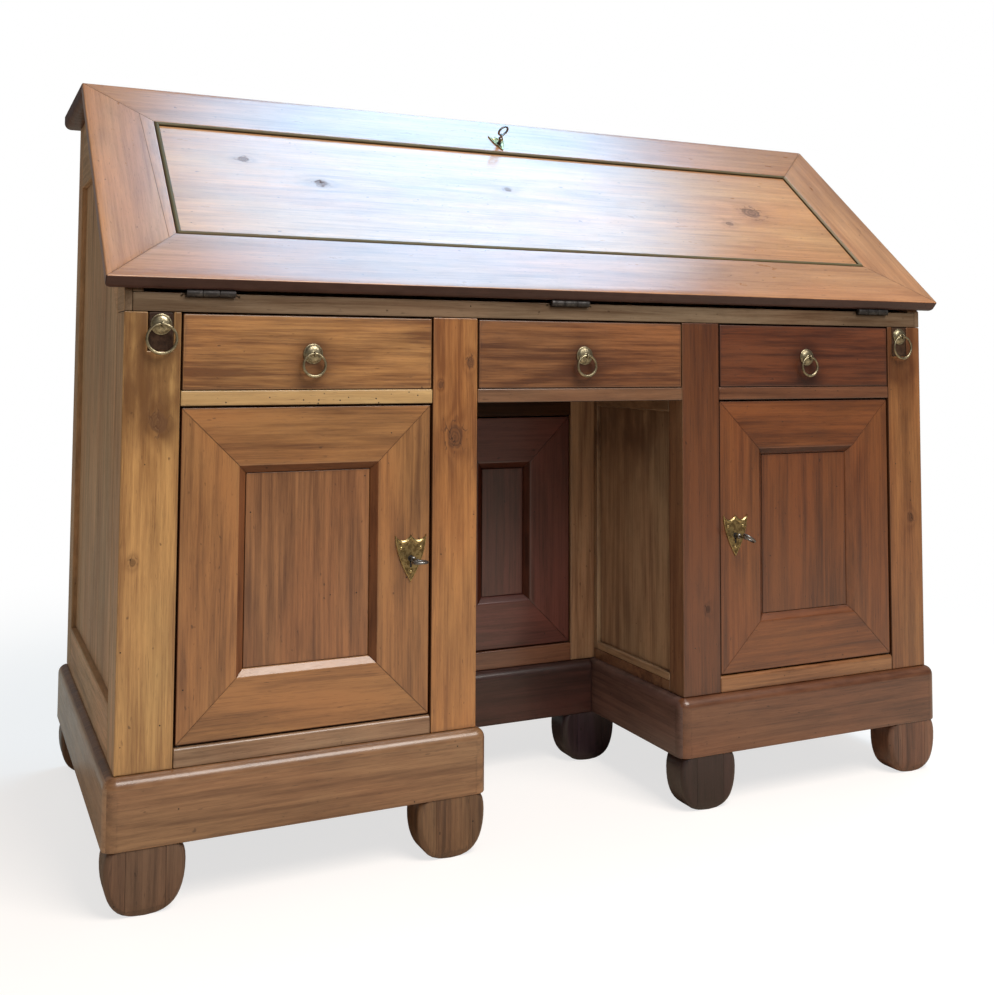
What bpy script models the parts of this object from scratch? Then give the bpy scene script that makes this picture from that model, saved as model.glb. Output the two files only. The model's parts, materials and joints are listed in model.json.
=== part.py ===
"""Slant-front kneehole desk: a case with a sloped lid, drawers and lopers on two cupboard pedestals.

Metres, +Z up, front towards -Y. Pieces are laid out in the desk frame: x from the middle of the desk,
y back from the front of the stiles and z up from the floor.
"""

import math

import bmesh
import bpy
from mathutils import Matrix, Vector

# Clearances
GAP = 0.0003  # between pieces that touch
DOOR_GAP = 0.002  # round a door
DRAWER_GAP = 0.0015  # beside and above a drawer
RUNNING_GAP = 0.0004  # round a pivot, a key's shank or a hinge barrel
RING_PLAY = 0.0005  # round a ring's wire in its eye
LOPER_PLAY = 0.0005  # beside and above a loper
LID_END_GAP = 0.0015  # between the lid's upper end and the top board
CUT_PAST = 0.004  # how far a cutter runs past the face that it opens

# Front members
OUTER_STILE_WIDTH = 0.072
INNER_STILE_WIDTH = 0.069
STILE_DEPTH = 0.064
PEDESTAL_OPENING = 0.349
KNEEHOLE_WIDTH = 0.350
BOTTOM_RAIL_HEIGHT = 0.025
DOOR_OPENING_HEIGHT = 0.430
DRAWER_RAIL_HEIGHT = 0.020
DRAWER_OPENING_HEIGHT = 0.101
HINGE_RAIL_HEIGHT = 0.025

# Case boards
CASE_DEPTH = 0.602
SIDE_THICKNESS = 0.024
SIDE_LIP = 0.010  # what is left of a side in front of the hinge rail's end
SIDE_PANEL_SINK = 0.008
SIDE_FRONT_MARGIN = 0.004
SIDE_BOTTOM_RAIL = 0.070
SIDE_TOP_RAIL = 0.110
SIDE_SLOPE_RAIL = 0.070
SIDE_REAR_STILE = 0.055
INNER_SIDE_THICKNESS = 0.022
INNER_PANEL_SINK = 0.006
INNER_PANEL_MARGIN = 0.040
BACK_THICKNESS = 0.015
BED_THICKNESS = 0.018
DECK_THICKNESS = 0.018
DRAWER_GUIDE_HEIGHT = 0.030
FLOOR_THICKNESS = 0.016
TOP_BOARD_THICKNESS = 0.024
TOP_REAR_OVERHANG = 0.018
END_ROUND = 0.011  # rounding under the ends of the top board and the lid

# Kneehole
KNEEHOLE_DEPTH = 0.273
KNEE_FRAME_THICKNESS = 0.024
KNEE_STILE_WIDTH = 0.048
KNEE_SILL_HEIGHT = 0.030
KNEE_HEAD_HEIGHT = 0.036

# Base
FOOT_HEIGHT = 0.081
FOOT_WIDTH = 0.105
FOOT_TOP_WIDTH = 0.094
FOOT_BASE_WIDTH = 0.058
FOOT_DEPTH = 0.055
FOOT_SHOULDER = 0.016  # from the widest level up to the plinth
FOOT_EDGE = 0.003
KNEE_FOOT_OVERLAP = 0.048  # how far a kneehole foot reaches past the pedestal's plinth
PLINTH_HEIGHT = 0.088
PLINTH_THICKNESS = 0.045
PLINTH_PROJECTION = 0.013
PLINTH_BULLNOSE = 0.012
PLINTH_CORNER = 0.016

# Lid and its hinges
LID_SLOPE = math.radians(41.7)
LID_LENGTH = 0.480
LID_THICKNESS = 0.024
LID_OVERHANG = 0.025
LID_MEMBER_WIDTH = 0.097
LID_PANEL_SINK = 0.005
LID_PANEL_LAP = 0.010
LID_PANEL_THICKNESS = 0.014
PIN_AHEAD = 0.003  # hinge pins, in front of the stiles
HINGE_LENGTH = 0.064
HINGE_RADIUS = 0.005
HINGE_KNUCKLES = 3
HINGE_GROOVE = 0.0006
HINGE_LEAF_WIDTH = 0.026
HINGE_LEAF_THICKNESS = 0.002
HINGE_PLACES = {"left": -0.557, "middle": -0.026, "right": 0.557}

# Doors
DOOR_THICKNESS = 0.022
DOOR_RECESS = 0.0025  # a door's face, behind the frame round it
DOOR_FRAME_WIDTH = 0.079
FIELD_BEVEL = 0.010
FIELD_SINK = 0.006
PIVOT_RADIUS = 0.0025
PIVOT_INSET = 0.004  # pivot axis, in from the door's edge and face
PIVOT_ENGAGEMENT = 0.006  # length of a pivot in its rail
PIVOT_ROOT = 0.004  # length of a pivot in its door

# Drawers and lopers
DRAWER_DEPTH = 0.500
DRAWER_FRONT = 0.020
DRAWER_WALL = 0.012
DRAWER_BOTTOM = 0.009
DRAWER_PULL_HEIGHT = 0.0485
LOPER_SLOT_WIDTH = 0.032
LOPER_SLOT_HEIGHT = 0.050
LOPER_MARGIN = 0.006  # between a loper's slot and the side
LOPER_LENGTH = 0.460
LOPER_PULL_DROP = 0.0155  # pull's centre, below the loper's top

# Ring pulls
ROSETTE_RADIUS = 0.0135
ROSETTE_RIM = 0.0015
ROSETTE_HEIGHT = 0.0055
EYE_RADIUS = 0.0042
EYE_THICKNESS = 0.004
EYE_REACH = 0.0088
RING_WIRE = 0.0015
DRAWER_RING_RADIUS = 0.0155
LOPER_RING_RADIUS = 0.0190

# Locks
PLATE_THICKNESS = 0.002
DOOR_PLATE_WIDTH = 0.051
DOOR_PLATE_HEIGHT = 0.065
LID_PLATE_WIDTH = 0.027
LID_PLATE_HEIGHT = 0.044
PLATE_SCALLOP = 0.006
PLATE_WAIST = 0.0035
DOOR_LOCK_INSET = 0.0285  # from the door's free edge to the key
DOOR_LOCK_HEIGHT = 0.2165  # from the bottom rail up to the key
LID_LOCK_X = -0.009
LID_LOCK_INSET = 0.073  # from the lid's upper end to the key
KEY_RADIUS = 0.0026
KEY_DEPTH = 0.014
DOOR_KEY_REACH = 0.046
LID_KEY_REACH = 0.036
KEY_COLLAR_RADIUS = 0.0042
KEY_COLLAR_LENGTH = 0.003
KEY_COLLAR_PLACE = 0.010
KEY_BOW_LENGTH = 0.019
KEY_BOW_WIDTH = 0.025
KEY_BOW_WIRE = 0.0019
LEFT_KEY_TURN = math.radians(90)  # how far each key's bow is turned from upright
RIGHT_KEY_TURN = math.radians(-55)
LID_KEY_TURN = math.radians(65)

# Facets
ROUND_STEPS = 16
SMALL_STEPS = 12
RING_STEPS = 28
WIRE_STEPS = 8
ARC_STEPS = 6
BEVEL_STEPS = 4
SMOOTH_ANGLE = math.radians(40)

# Levels and lines that follow from the sizes above
KNEE_X = KNEEHOLE_WIDTH / 2
NEAR_X = KNEE_X + INNER_STILE_WIDTH
FAR_X = NEAR_X + PEDESTAL_OPENING
CASE_X = FAR_X + OUTER_STILE_WIDTH
INSIDE_X = CASE_X - SIDE_THICKNESS - GAP
LID_X = CASE_X + LID_OVERHANG
PLINTH_X = CASE_X + PLINTH_PROJECTION
PLINTH_KNEE_X = KNEE_X - PLINTH_PROJECTION
LOPER_OUTER_X = CASE_X - SIDE_THICKNESS - LOPER_MARGIN
LOPER_INNER_X = LOPER_OUTER_X - LOPER_SLOT_WIDTH
PLINTH_TOP = FOOT_HEIGHT + PLINTH_HEIGHT
DOOR_BASE = PLINTH_TOP + BOTTOM_RAIL_HEIGHT
DOOR_HEAD = DOOR_BASE + DOOR_OPENING_HEIGHT
DRAWER_BASE = DOOR_HEAD + DRAWER_RAIL_HEIGHT
DRAWER_HEAD = DRAWER_BASE + DRAWER_OPENING_HEIGHT
WRITING_LEVEL = DRAWER_HEAD + HINGE_RAIL_HEIGHT
HINGE_LEAF_TOP = WRITING_LEVEL - GAP
LID_LOCK_UP = LID_LENGTH - LID_LOCK_INSET
DECK_UNDERSIDE = DRAWER_BASE - DECK_THICKNESS
LOPER_BASE = DRAWER_HEAD - LOPER_SLOT_HEIGHT
FLOOR_TOP = PLINTH_TOP + GAP + FLOOR_THICKNESS
INSIDE_FRONT = STILE_DEPTH + GAP
INSIDE_BACK = CASE_DEPTH - BACK_THICKNESS - GAP
KNEE_BACK = KNEEHOLE_DEPTH + KNEE_FRAME_THICKNESS
KNEE_OPENING_X = KNEE_X - KNEE_STILE_WIDTH
KNEE_DOOR_BASE = PLINTH_TOP + KNEE_SILL_HEIGHT
KNEE_DOOR_HEAD = DECK_UNDERSIDE - KNEE_HEAD_HEIGHT
TOP_LEVEL = WRITING_LEVEL + LID_LENGTH * math.sin(LID_SLOPE) + LID_THICKNESS * math.cos(LID_SLOPE)
TOP_UNDERSIDE = TOP_LEVEL - TOP_BOARD_THICKNESS
FRONT_REACH = DOOR_KEY_REACH - DOOR_RECESS
REAR_REACH = CASE_DEPTH + TOP_REAR_OVERHANG
FRONT_Y = (FRONT_REACH - REAR_REACH) / 2  # puts the middle of the whole depth at y = 0

# Finish: colour, roughness and metallic value
FINISHES = {
    "honey_wood": ((0.35, 0.16, 0.05), 0.35, 0.0),
    "lid_wood": ((0.31, 0.145, 0.055), 0.3, 0.0),
    "drawer_wood": ((0.26, 0.09, 0.027), 0.35, 0.0),
    "door_wood": ((0.26, 0.115, 0.045), 0.35, 0.0),
    "rail_wood": ((0.48, 0.26, 0.09), 0.4, 0.0),
    "side_wood": ((0.16, 0.092, 0.053), 0.5, 0.0),
    "inside_wood": ((0.29, 0.165, 0.08), 0.7, 0.0),
    "foot_wood": ((0.115, 0.05, 0.02), 0.45, 0.0),
    "brass": ((0.6, 0.47, 0.22), 0.35, 1.0),
    "steel": ((0.12, 0.115, 0.11), 0.45, 1.0),
}

PLANES = {"X": "YZ", "Y": "XZ", "Z": "XY"}


def both_sides():
    """Name of each half of the desk, and the sign of x there."""
    return ("left", -1), ("right", 1)


def clear_scene():
    for scene_object in list(bpy.data.objects):
        bpy.data.objects.remove(scene_object)


def finish_material(name):
    """The Principled material of one of the desk's finishes."""
    found = bpy.data.materials.get(name)
    if found:
        return found
    colour, roughness, metallic = FINISHES[name]
    made = bpy.data.materials.new(name)
    made.use_nodes = True
    shader = made.node_tree.nodes["Principled BSDF"]
    shader.inputs["Base Color"].default_value = (*colour, 1.0)
    shader.inputs["Roughness"].default_value = roughness
    shader.inputs["Metallic"].default_value = metallic
    return made


def add_empty(name, parent, location, turn_x=0.0):
    empty = bpy.data.objects.new(name, None)
    empty.parent = parent
    empty.location = location
    empty.rotation_euler = (turn_x, 0.0, 0.0)
    bpy.context.scene.collection.objects.link(empty)
    return empty


def add_piece(name, shape, finish, parent, origin=(0.0, 0.0, 0.0), smooth=False):
    """Makes a shape a named object; the shape and the object's origin are given in its parent's frame."""
    bmesh.ops.translate(shape, vec=-Vector(origin), verts=shape.verts)
    mesh = bpy.data.meshes.new(name)
    shape.to_mesh(mesh)
    shape.free()
    if finish:
        mesh.materials.append(finish_material(finish))
    if smooth:
        mesh.shade_smooth()
        mesh.set_sharp_from_angle(angle=SMOOTH_ANGLE)
    piece = bpy.data.objects.new(name, mesh)
    piece.parent = parent
    piece.location = origin
    bpy.context.scene.collection.objects.link(piece)
    return piece


def combine(piece, operation, shape):
    """Cuts a shape from a piece, or fuses it on; the shape is in the frame of the piece's parent."""
    name = f"{piece.name}_{operation.lower()}_{len(piece.modifiers) + 1}"
    helper = add_piece(name, shape, None, piece.parent, piece.location)
    helper.hide_render = True
    helper.display_type = "WIRE"
    modifier = piece.modifiers.new(name, "BOOLEAN")
    modifier.operation = operation
    modifier.solver = "EXACT"
    modifier.object = helper


def cut(piece, *shapes):
    for shape in shapes:
        combine(piece, "DIFFERENCE", shape)


def fuse(piece, *shapes):
    for shape in shapes:
        combine(piece, "UNION", shape)


def block(x, y, z):
    """A box over three ranges, each given by its two ends in any order."""
    shape = bmesh.new()
    bmesh.ops.create_cube(shape, size=1.0)
    ends = [sorted(pair) for pair in (x, y, z)]
    bmesh.ops.scale(shape, vec=[high - low for low, high in ends], verts=shape.verts)
    bmesh.ops.translate(shape, vec=[(low + high) / 2 for low, high in ends], verts=shape.verts)
    return shape


def prism(outline, axis, ends):
    """A flat outline drawn out along an axis from one end to the other."""
    shape = bmesh.new()
    first, second = ("XYZ".index(letter) for letter in PLANES[axis])
    along = "XYZ".index(axis)
    low, high = sorted(ends)
    corners = []
    for point in outline:
        place = [0.0, 0.0, 0.0]
        place[first], place[second] = point
        place[along] = low
        corners.append(shape.verts.new(place))
    base = shape.faces.new(corners)
    drawn = bmesh.ops.extrude_face_region(shape, geom=[base])
    moved = [item for item in drawn["geom"] if isinstance(item, bmesh.types.BMVert)]
    travel = Vector((0.0, 0.0, 0.0))
    travel[along] = high - low
    bmesh.ops.translate(shape, vec=travel, verts=moved)
    bmesh.ops.recalc_face_normals(shape, faces=shape.faces)
    return shape


def turned(profile, axis, steps, closed=False):
    """A profile of (radius, place along the axis) points turned round the axis."""
    shape = bmesh.new()
    across = 0 if axis != "X" else 1
    along = "XYZ".index(axis)
    points = []
    for radius, place in profile:
        corner = [0.0, 0.0, 0.0]
        corner[across] = radius
        corner[along] = place
        points.append(shape.verts.new(corner))
    pairs = list(zip(points, points[1:]))
    if closed:
        pairs.append((points[-1], points[0]))
    edges = [shape.edges.new(pair) for pair in pairs]
    direction = [1.0 if letter == axis else 0.0 for letter in "XYZ"]
    whole = 2 * math.pi
    bmesh.ops.spin(shape, geom=points + edges, axis=direction, angle=whole, steps=steps, use_merge=True)
    bmesh.ops.remove_doubles(shape, verts=shape.verts, dist=1e-6)
    bmesh.ops.recalc_face_normals(shape, faces=shape.faces)
    return shape


def rod(radius, axis, ends, centre=(0.0, 0.0, 0.0), steps=ROUND_STEPS):
    """A round bar along an axis between two places on it, moved to a centre line."""
    low, high = sorted(ends)
    shape = turned([(0.0, high), (radius, high), (radius, low), (0.0, low)], axis, steps)
    bmesh.ops.translate(shape, vec=centre, verts=shape.verts)
    return shape


def hoop(radius, wire, axis, steps=RING_STEPS):
    """A ring of round wire whose hole runs along an axis."""
    turns = [2 * math.pi * step / WIRE_STEPS for step in range(WIRE_STEPS)]
    profile = [(radius + wire * math.cos(turn), wire * math.sin(turn)) for turn in turns]
    return turned(profile, axis, steps, closed=True)


def round_edges(shape, chosen, radius, steps=BEVEL_STEPS):
    """Rounds the edges whose two ends pass a test."""
    edges = [edge for edge in shape.edges if chosen(edge.verts[0].co, edge.verts[1].co)]
    bmesh.ops.bevel(shape, geom=edges, offset=radius, segments=steps, profile=0.5, affect="EDGES")
    return shape


def near(value, target):
    return abs(value - target) < GAP / 2


def under_lid_level(y, drop):
    """Level of a line under the lid's inner face, at a depth y, that far below it square to the slope."""
    return WRITING_LEVEL + (y + PIN_AHEAD) * math.tan(LID_SLOPE) - drop / math.cos(LID_SLOPE)


def under_lid_depth(z, drop):
    """Depth at which that line reaches a level."""
    return (z - WRITING_LEVEL + drop / math.cos(LID_SLOPE)) / math.tan(LID_SLOPE) - PIN_AHEAD


def lid_end_depth(z):
    """Depth of the top board's sloped front edge at a level, just behind the lid's upper end."""
    along = LID_LENGTH + LID_END_GAP - (z - WRITING_LEVEL) * math.sin(LID_SLOPE)
    return along / math.cos(LID_SLOPE) - PIN_AHEAD


def make_sides(desk):
    bottom = PLINTH_TOP + GAP
    top = TOP_UNDERSIDE - GAP
    shoulder = DRAWER_HEAD + GAP
    outline = [
        (INSIDE_FRONT, bottom),
        (CASE_DEPTH, bottom),
        (CASE_DEPTH, top),
        (under_lid_depth(top, GAP), top),
        (0.0, under_lid_level(0.0, GAP)),
        (0.0, shoulder),
        (INSIDE_FRONT, shoulder),
    ]
    low = PLINTH_TOP + SIDE_BOTTOM_RAIL
    high = top - SIDE_TOP_RAIL
    front = STILE_DEPTH + SIDE_FRONT_MARGIN
    back = CASE_DEPTH - SIDE_REAR_STILE
    field = [
        (front, low),
        (back, low),
        (back, high),
        (under_lid_depth(high, SIDE_SLOPE_RAIL), high),
        (front, under_lid_level(front, SIDE_SLOPE_RAIL)),
    ]
    for name, sign in both_sides():
        inner = CASE_X - SIDE_THICKNESS
        shape = prism(outline, "X", (sign * inner, sign * CASE_X))
        side = add_piece(f"{name}_side", shape, "side_wood", desk, (sign * CASE_X, 0.0, bottom))
        sink = (sign * (CASE_X - SIDE_PANEL_SINK), sign * (CASE_X + CUT_PAST))
        lap = block(
            (sign * (inner - CUT_PAST), sign * (CASE_X - SIDE_LIP)),
            (-CUT_PAST, INSIDE_FRONT),
            (DRAWER_HEAD - CUT_PAST, WRITING_LEVEL + GAP),
        )
        cut(side, prism(field, "X", sink), lap)


def make_inner_sides(desk):
    low = FLOOR_TOP + GAP
    high = DECK_UNDERSIDE - GAP
    for name, sign in both_sides():
        outer = KNEE_X + INNER_SIDE_THICKNESS
        shape = block((sign * KNEE_X, sign * outer), (INSIDE_FRONT, INSIDE_BACK), (low, high))
        board = add_piece(f"{name}_inner_side", shape, "door_wood", desk, (sign * KNEE_X, 0.0, low))
        field = block(
            (sign * (KNEE_X - CUT_PAST), sign * (KNEE_X + INNER_PANEL_SINK)),
            (INSIDE_FRONT + INNER_PANEL_MARGIN, KNEEHOLE_DEPTH - INNER_PANEL_MARGIN),
            (low + SIDE_BOTTOM_RAIL, high - INNER_PANEL_MARGIN),
        )
        cut(board, field)


def make_case_boards(desk):
    """Back, top, writing bed, drawer deck and cupboard floor."""
    wide = (-INSIDE_X, INSIDE_X)
    back = block(wide, (CASE_DEPTH - BACK_THICKNESS, CASE_DEPTH), (PLINTH_TOP + GAP, TOP_UNDERSIDE - GAP))
    add_piece("back_panel", back, "inside_wood", desk, (0.0, CASE_DEPTH, PLINTH_TOP))

    outline = [
        (lid_end_depth(TOP_UNDERSIDE), TOP_UNDERSIDE),
        (REAR_REACH, TOP_UNDERSIDE),
        (REAR_REACH, TOP_LEVEL),
        (lid_end_depth(TOP_LEVEL), TOP_LEVEL),
    ]
    top = prism(outline, "X", (-LID_X, LID_X))

    def under_an_end(a, b):
        return near(a.x, b.x) and near(a.z, TOP_UNDERSIDE) and near(b.z, TOP_UNDERSIDE)

    round_edges(top, under_an_end, END_ROUND)
    add_piece("top_board", top, "lid_wood", desk, (0.0, REAR_REACH, TOP_LEVEL), smooth=True)

    bed = block(wide, (INSIDE_FRONT, INSIDE_BACK), (WRITING_LEVEL - BED_THICKNESS, WRITING_LEVEL))
    add_piece("writing_bed", bed, "inside_wood", desk, (0.0, INSIDE_FRONT, WRITING_LEVEL))

    guide_top = DRAWER_BASE + DRAWER_GUIDE_HEIGHT
    half = [
        (KNEE_X, DRAWER_BASE),
        (KNEE_X, guide_top),
        (NEAR_X, guide_top),
        (NEAR_X, DRAWER_BASE),
        (FAR_X, DRAWER_BASE),
        (FAR_X, DRAWER_HEAD - DRAWER_GAP),
        (LOPER_INNER_X, DRAWER_HEAD - DRAWER_GAP),
        (LOPER_INNER_X, LOPER_BASE),
        (INSIDE_X, LOPER_BASE),
        (INSIDE_X, DECK_UNDERSIDE),
    ]
    section = half + [(-x, z) for x, z in reversed(half)]
    deck = prism(section, "Y", (INSIDE_FRONT, INSIDE_BACK))
    add_piece("drawer_deck", deck, "inside_wood", desk, (0.0, INSIDE_FRONT, DRAWER_BASE))

    plan = [
        (INSIDE_X, INSIDE_FRONT),
        (INSIDE_X, INSIDE_BACK),
        (-INSIDE_X, INSIDE_BACK),
        (-INSIDE_X, INSIDE_FRONT),
        (-KNEE_X, INSIDE_FRONT),
        (-KNEE_X, KNEE_BACK + GAP),
        (KNEE_X, KNEE_BACK + GAP),
        (KNEE_X, INSIDE_FRONT),
    ]
    floor = prism(plan, "Z", (PLINTH_TOP + GAP, FLOOR_TOP))
    add_piece("cupboard_floor", floor, "inside_wood", desk, (0.0, INSIDE_FRONT, PLINTH_TOP))


def make_stiles(desk):
    low = PLINTH_TOP + GAP
    notch = [
        (CASE_X, low),
        (CASE_X, DRAWER_HEAD),
        (LOPER_OUTER_X, DRAWER_HEAD),
        (LOPER_OUTER_X, LOPER_BASE),
        (LOPER_INNER_X, LOPER_BASE),
        (LOPER_INNER_X, DRAWER_HEAD),
        (FAR_X, DRAWER_HEAD),
        (FAR_X, low),
    ]
    for name, sign in both_sides():
        outer = prism([(sign * x, z) for x, z in notch], "Y", (0.0, STILE_DEPTH))
        add_piece(f"{name}_outer_stile", outer, "honey_wood", desk, (sign * CASE_X, 0.0, low))
        inner = block((sign * KNEE_X, sign * NEAR_X), (0.0, STILE_DEPTH), (low, DRAWER_HEAD))
        add_piece(f"{name}_inner_stile", inner, "honey_wood", desk, (sign * KNEE_X, 0.0, low))


def pivot_place(edge, swing, face):
    """Pivot axis of a door, from its opening's hinge edge, the way it runs from there and its frame's face."""
    return edge + swing * (DOOR_GAP + PIVOT_INSET), face + DOOR_RECESS + PIVOT_INSET


def pivot_hole(place, level, into):
    """A hole for a door's pivot, from a level into the wood above (1) or below (-1) it."""
    depth = PIVOT_ENGAGEMENT + RUNNING_GAP
    ends = (level - into * CUT_PAST, level + into * depth)
    return rod(PIVOT_RADIUS + RUNNING_GAP, "Z", ends, (*place, 0.0), SMALL_STEPS)


def make_rails(desk):
    deep = (0.0, STILE_DEPTH)
    for name, sign in both_sides():
        wide = (sign * (NEAR_X + GAP), sign * (FAR_X - GAP))
        pivot = pivot_place(sign * FAR_X, -sign, 0.0)
        upper = block(wide, deep, (DOOR_HEAD, DRAWER_BASE))
        rail = add_piece(f"{name}_drawer_rail", upper, "rail_wood", desk, (sign * FAR_X, 0.0, DOOR_HEAD))
        cut(rail, pivot_hole(pivot, DOOR_HEAD, 1))
        lower = block(wide, deep, (PLINTH_TOP + GAP, DOOR_BASE))
        rail = add_piece(f"{name}_bottom_rail", lower, "honey_wood", desk, (sign * FAR_X, 0.0, DOOR_BASE))
        cut(rail, pivot_hole(pivot, DOOR_BASE, -1))
    centre = block((GAP - KNEE_X, KNEE_X - GAP), deep, (DOOR_HEAD, DRAWER_BASE))
    add_piece("centre_drawer_rail", centre, "rail_wood", desk, (0.0, 0.0, DOOR_HEAD))


def hinge_ends(middle, slack=0.0):
    half = HINGE_LENGTH / 2 + slack
    return middle - half, middle + half


def make_hinge_rail(desk):
    wide = CASE_X - SIDE_LIP - GAP
    shape = block((-wide, wide), (0.0, STILE_DEPTH), (DRAWER_HEAD + GAP, WRITING_LEVEL))
    rail = add_piece("hinge_rail", shape, "honey_wood", desk, (0.0, 0.0, DRAWER_HEAD))
    for middle in HINGE_PLACES.values():
        ends = hinge_ends(middle, GAP)
        seat = block(
            ends,
            (-PIN_AHEAD, HINGE_LEAF_WIDTH - PIN_AHEAD + GAP),
            (HINGE_LEAF_TOP - HINGE_LEAF_THICKNESS - GAP, WRITING_LEVEL + CUT_PAST),
        )
        barrel = rod(HINGE_RADIUS + RUNNING_GAP, "X", ends, (0.0, -PIN_AHEAD, WRITING_LEVEL))
        cut(rail, seat, barrel)


def make_lid_hinges(desk):
    """Each hinge is its barrel of knuckles with the leaf that is let into the hinge rail."""
    for name, middle in HINGE_PLACES.items():
        low, high = hinge_ends(middle)
        profile = [(0.0, low)]
        for knuckle in range(HINGE_KNUCKLES):
            start = low + knuckle * HINGE_LENGTH / HINGE_KNUCKLES
            end = low + (knuckle + 1) * HINGE_LENGTH / HINGE_KNUCKLES
            profile.append((HINGE_RADIUS - HINGE_GROOVE, start))
            profile.append((HINGE_RADIUS, start + HINGE_GROOVE))
            profile.append((HINGE_RADIUS, end - HINGE_GROOVE))
        profile.append((HINGE_RADIUS - HINGE_GROOVE, high))
        profile.append((0.0, high))
        barrel = turned(profile, "X", ROUND_STEPS)
        pin = (0.0, -PIN_AHEAD, WRITING_LEVEL)
        bmesh.ops.translate(barrel, vec=pin, verts=barrel.verts)
        hinge = add_piece(f"{name}_lid_hinge", barrel, "steel", desk, (middle, *pin[1:]), smooth=True)
        leaf = block(
            (low + HINGE_GROOVE, high - HINGE_GROOVE),
            (HINGE_RADIUS / 2 - PIN_AHEAD, HINGE_LEAF_WIDTH - PIN_AHEAD),
            (HINGE_LEAF_TOP - HINGE_LEAF_THICKNESS, HINGE_LEAF_TOP),
        )
        fuse(hinge, leaf)


def make_kneehole_frame(desk):
    face = KNEEHOLE_DEPTH
    low = PLINTH_TOP + GAP
    shape = block((GAP - KNEE_X, KNEE_X - GAP), (face, KNEE_BACK), (low, DECK_UNDERSIDE - GAP))
    frame = add_piece("kneehole_frame", shape, "door_wood", desk, (0.0, face, low))
    opening = block(
        (-KNEE_OPENING_X, KNEE_OPENING_X),
        (face - CUT_PAST, KNEE_BACK + CUT_PAST),
        (KNEE_DOOR_BASE, KNEE_DOOR_HEAD),
    )
    pivot = pivot_place(KNEE_OPENING_X, -1, face)
    cut(frame, opening, pivot_hole(pivot, KNEE_DOOR_BASE, -1), pivot_hole(pivot, KNEE_DOOR_HEAD, 1))


def make_plinths(desk):
    level = (FOOT_HEIGHT + GAP, PLINTH_TOP)
    front = -PLINTH_PROJECTION
    knee_front = KNEEHOLE_DEPTH - PLINTH_PROJECTION
    outline = [
        (PLINTH_KNEE_X, knee_front + PLINTH_THICKNESS),
        (PLINTH_KNEE_X, front),
        (PLINTH_X, front),
        (PLINTH_X, CASE_DEPTH),
        (PLINTH_X - PLINTH_THICKNESS, CASE_DEPTH),
        (PLINTH_X - PLINTH_THICKNESS, front + PLINTH_THICKNESS),
        (PLINTH_KNEE_X + PLINTH_THICKNESS, front + PLINTH_THICKNESS),
        (PLINTH_KNEE_X + PLINTH_THICKNESS, knee_front + PLINTH_THICKNESS),
    ]

    def at_front_corner(a, b):
        upright = near(a.x, b.x) and near(a.y, b.y)
        return upright and near(a.y, front)

    def on_top_rim(a, b):
        middle = (a + b) / 2
        x = abs(middle.x)
        rim = PLINTH_CORNER / 2
        shown = x > PLINTH_X - rim or x < PLINTH_KNEE_X + rim or middle.y < front + rim
        return near(a.z, PLINTH_TOP) and near(b.z, PLINTH_TOP) and shown

    for name, sign in both_sides():
        shape = prism([(sign * x, y) for x, y in outline], "Z", level)
        round_edges(shape, at_front_corner, PLINTH_CORNER)
        round_edges(shape, on_top_rim, PLINTH_BULLNOSE)
        add_piece(f"{name}_plinth", shape, "honey_wood", desk, (sign * PLINTH_X, 0.0, level[0]), smooth=True)

    def on_knee_rim(a, b):
        return all(near(end.y, knee_front) and near(end.z, PLINTH_TOP) for end in (a, b))

    wide = PLINTH_KNEE_X - GAP
    shape = block((-wide, wide), (knee_front, knee_front + PLINTH_THICKNESS), level)
    round_edges(shape, on_knee_rim, PLINTH_BULLNOSE)
    add_piece("kneehole_plinth", shape, "door_wood", desk, (0.0, KNEEHOLE_DEPTH, level[0]), smooth=True)


def foot_outline(middle):
    """A foot seen from the front: a flat base that swells to a shoulder under the plinth."""
    widest = FOOT_HEIGHT - FOOT_SHOULDER
    right = []
    for step in range(ARC_STEPS + 1):
        turn = math.pi / 2 * step / ARC_STEPS
        half = FOOT_BASE_WIDTH / 2 + (FOOT_WIDTH - FOOT_BASE_WIDTH) / 2 * math.sin(turn)
        right.append((half, widest * (1 - math.cos(turn))))
    for step in range(1, BEVEL_STEPS + 1):
        turn = math.pi / 2 * step / BEVEL_STEPS
        half = FOOT_TOP_WIDTH / 2 + (FOOT_WIDTH - FOOT_TOP_WIDTH) / 2 * math.cos(turn)
        right.append((half, widest + FOOT_SHOULDER * math.sin(turn)))
    return [(middle + x, z) for x, z in right] + [(middle - x, z) for x, z in reversed(right)]


def make_feet(desk):
    front = -PLINTH_PROJECTION
    outer = PLINTH_X - FOOT_WIDTH / 2
    places = {
        "outer_foot": (outer, front),
        "inner_foot": (PLINTH_KNEE_X + FOOT_WIDTH / 2, front),
        "kneehole_foot": (PLINTH_KNEE_X + KNEE_FOOT_OVERLAP - FOOT_WIDTH / 2, KNEEHOLE_DEPTH + front),
        "rear_foot": (outer, CASE_DEPTH - FOOT_DEPTH),
    }

    def on_face_rim(a, b):
        flat_end = near(a.z, b.z) and (near(a.z, FOOT_HEIGHT) or near(a.z, 0.0))
        return near(a.y, b.y) and not flat_end

    for place, (x, y) in places.items():
        for name, sign in both_sides():
            shape = prism(foot_outline(sign * x), "Y", (y, y + FOOT_DEPTH))
            round_edges(shape, on_face_rim, FOOT_EDGE, 2)
            add_piece(f"{name}_{place}", shape, "foot_wood", desk, (sign * x, y, 0.0), smooth=True)


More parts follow.
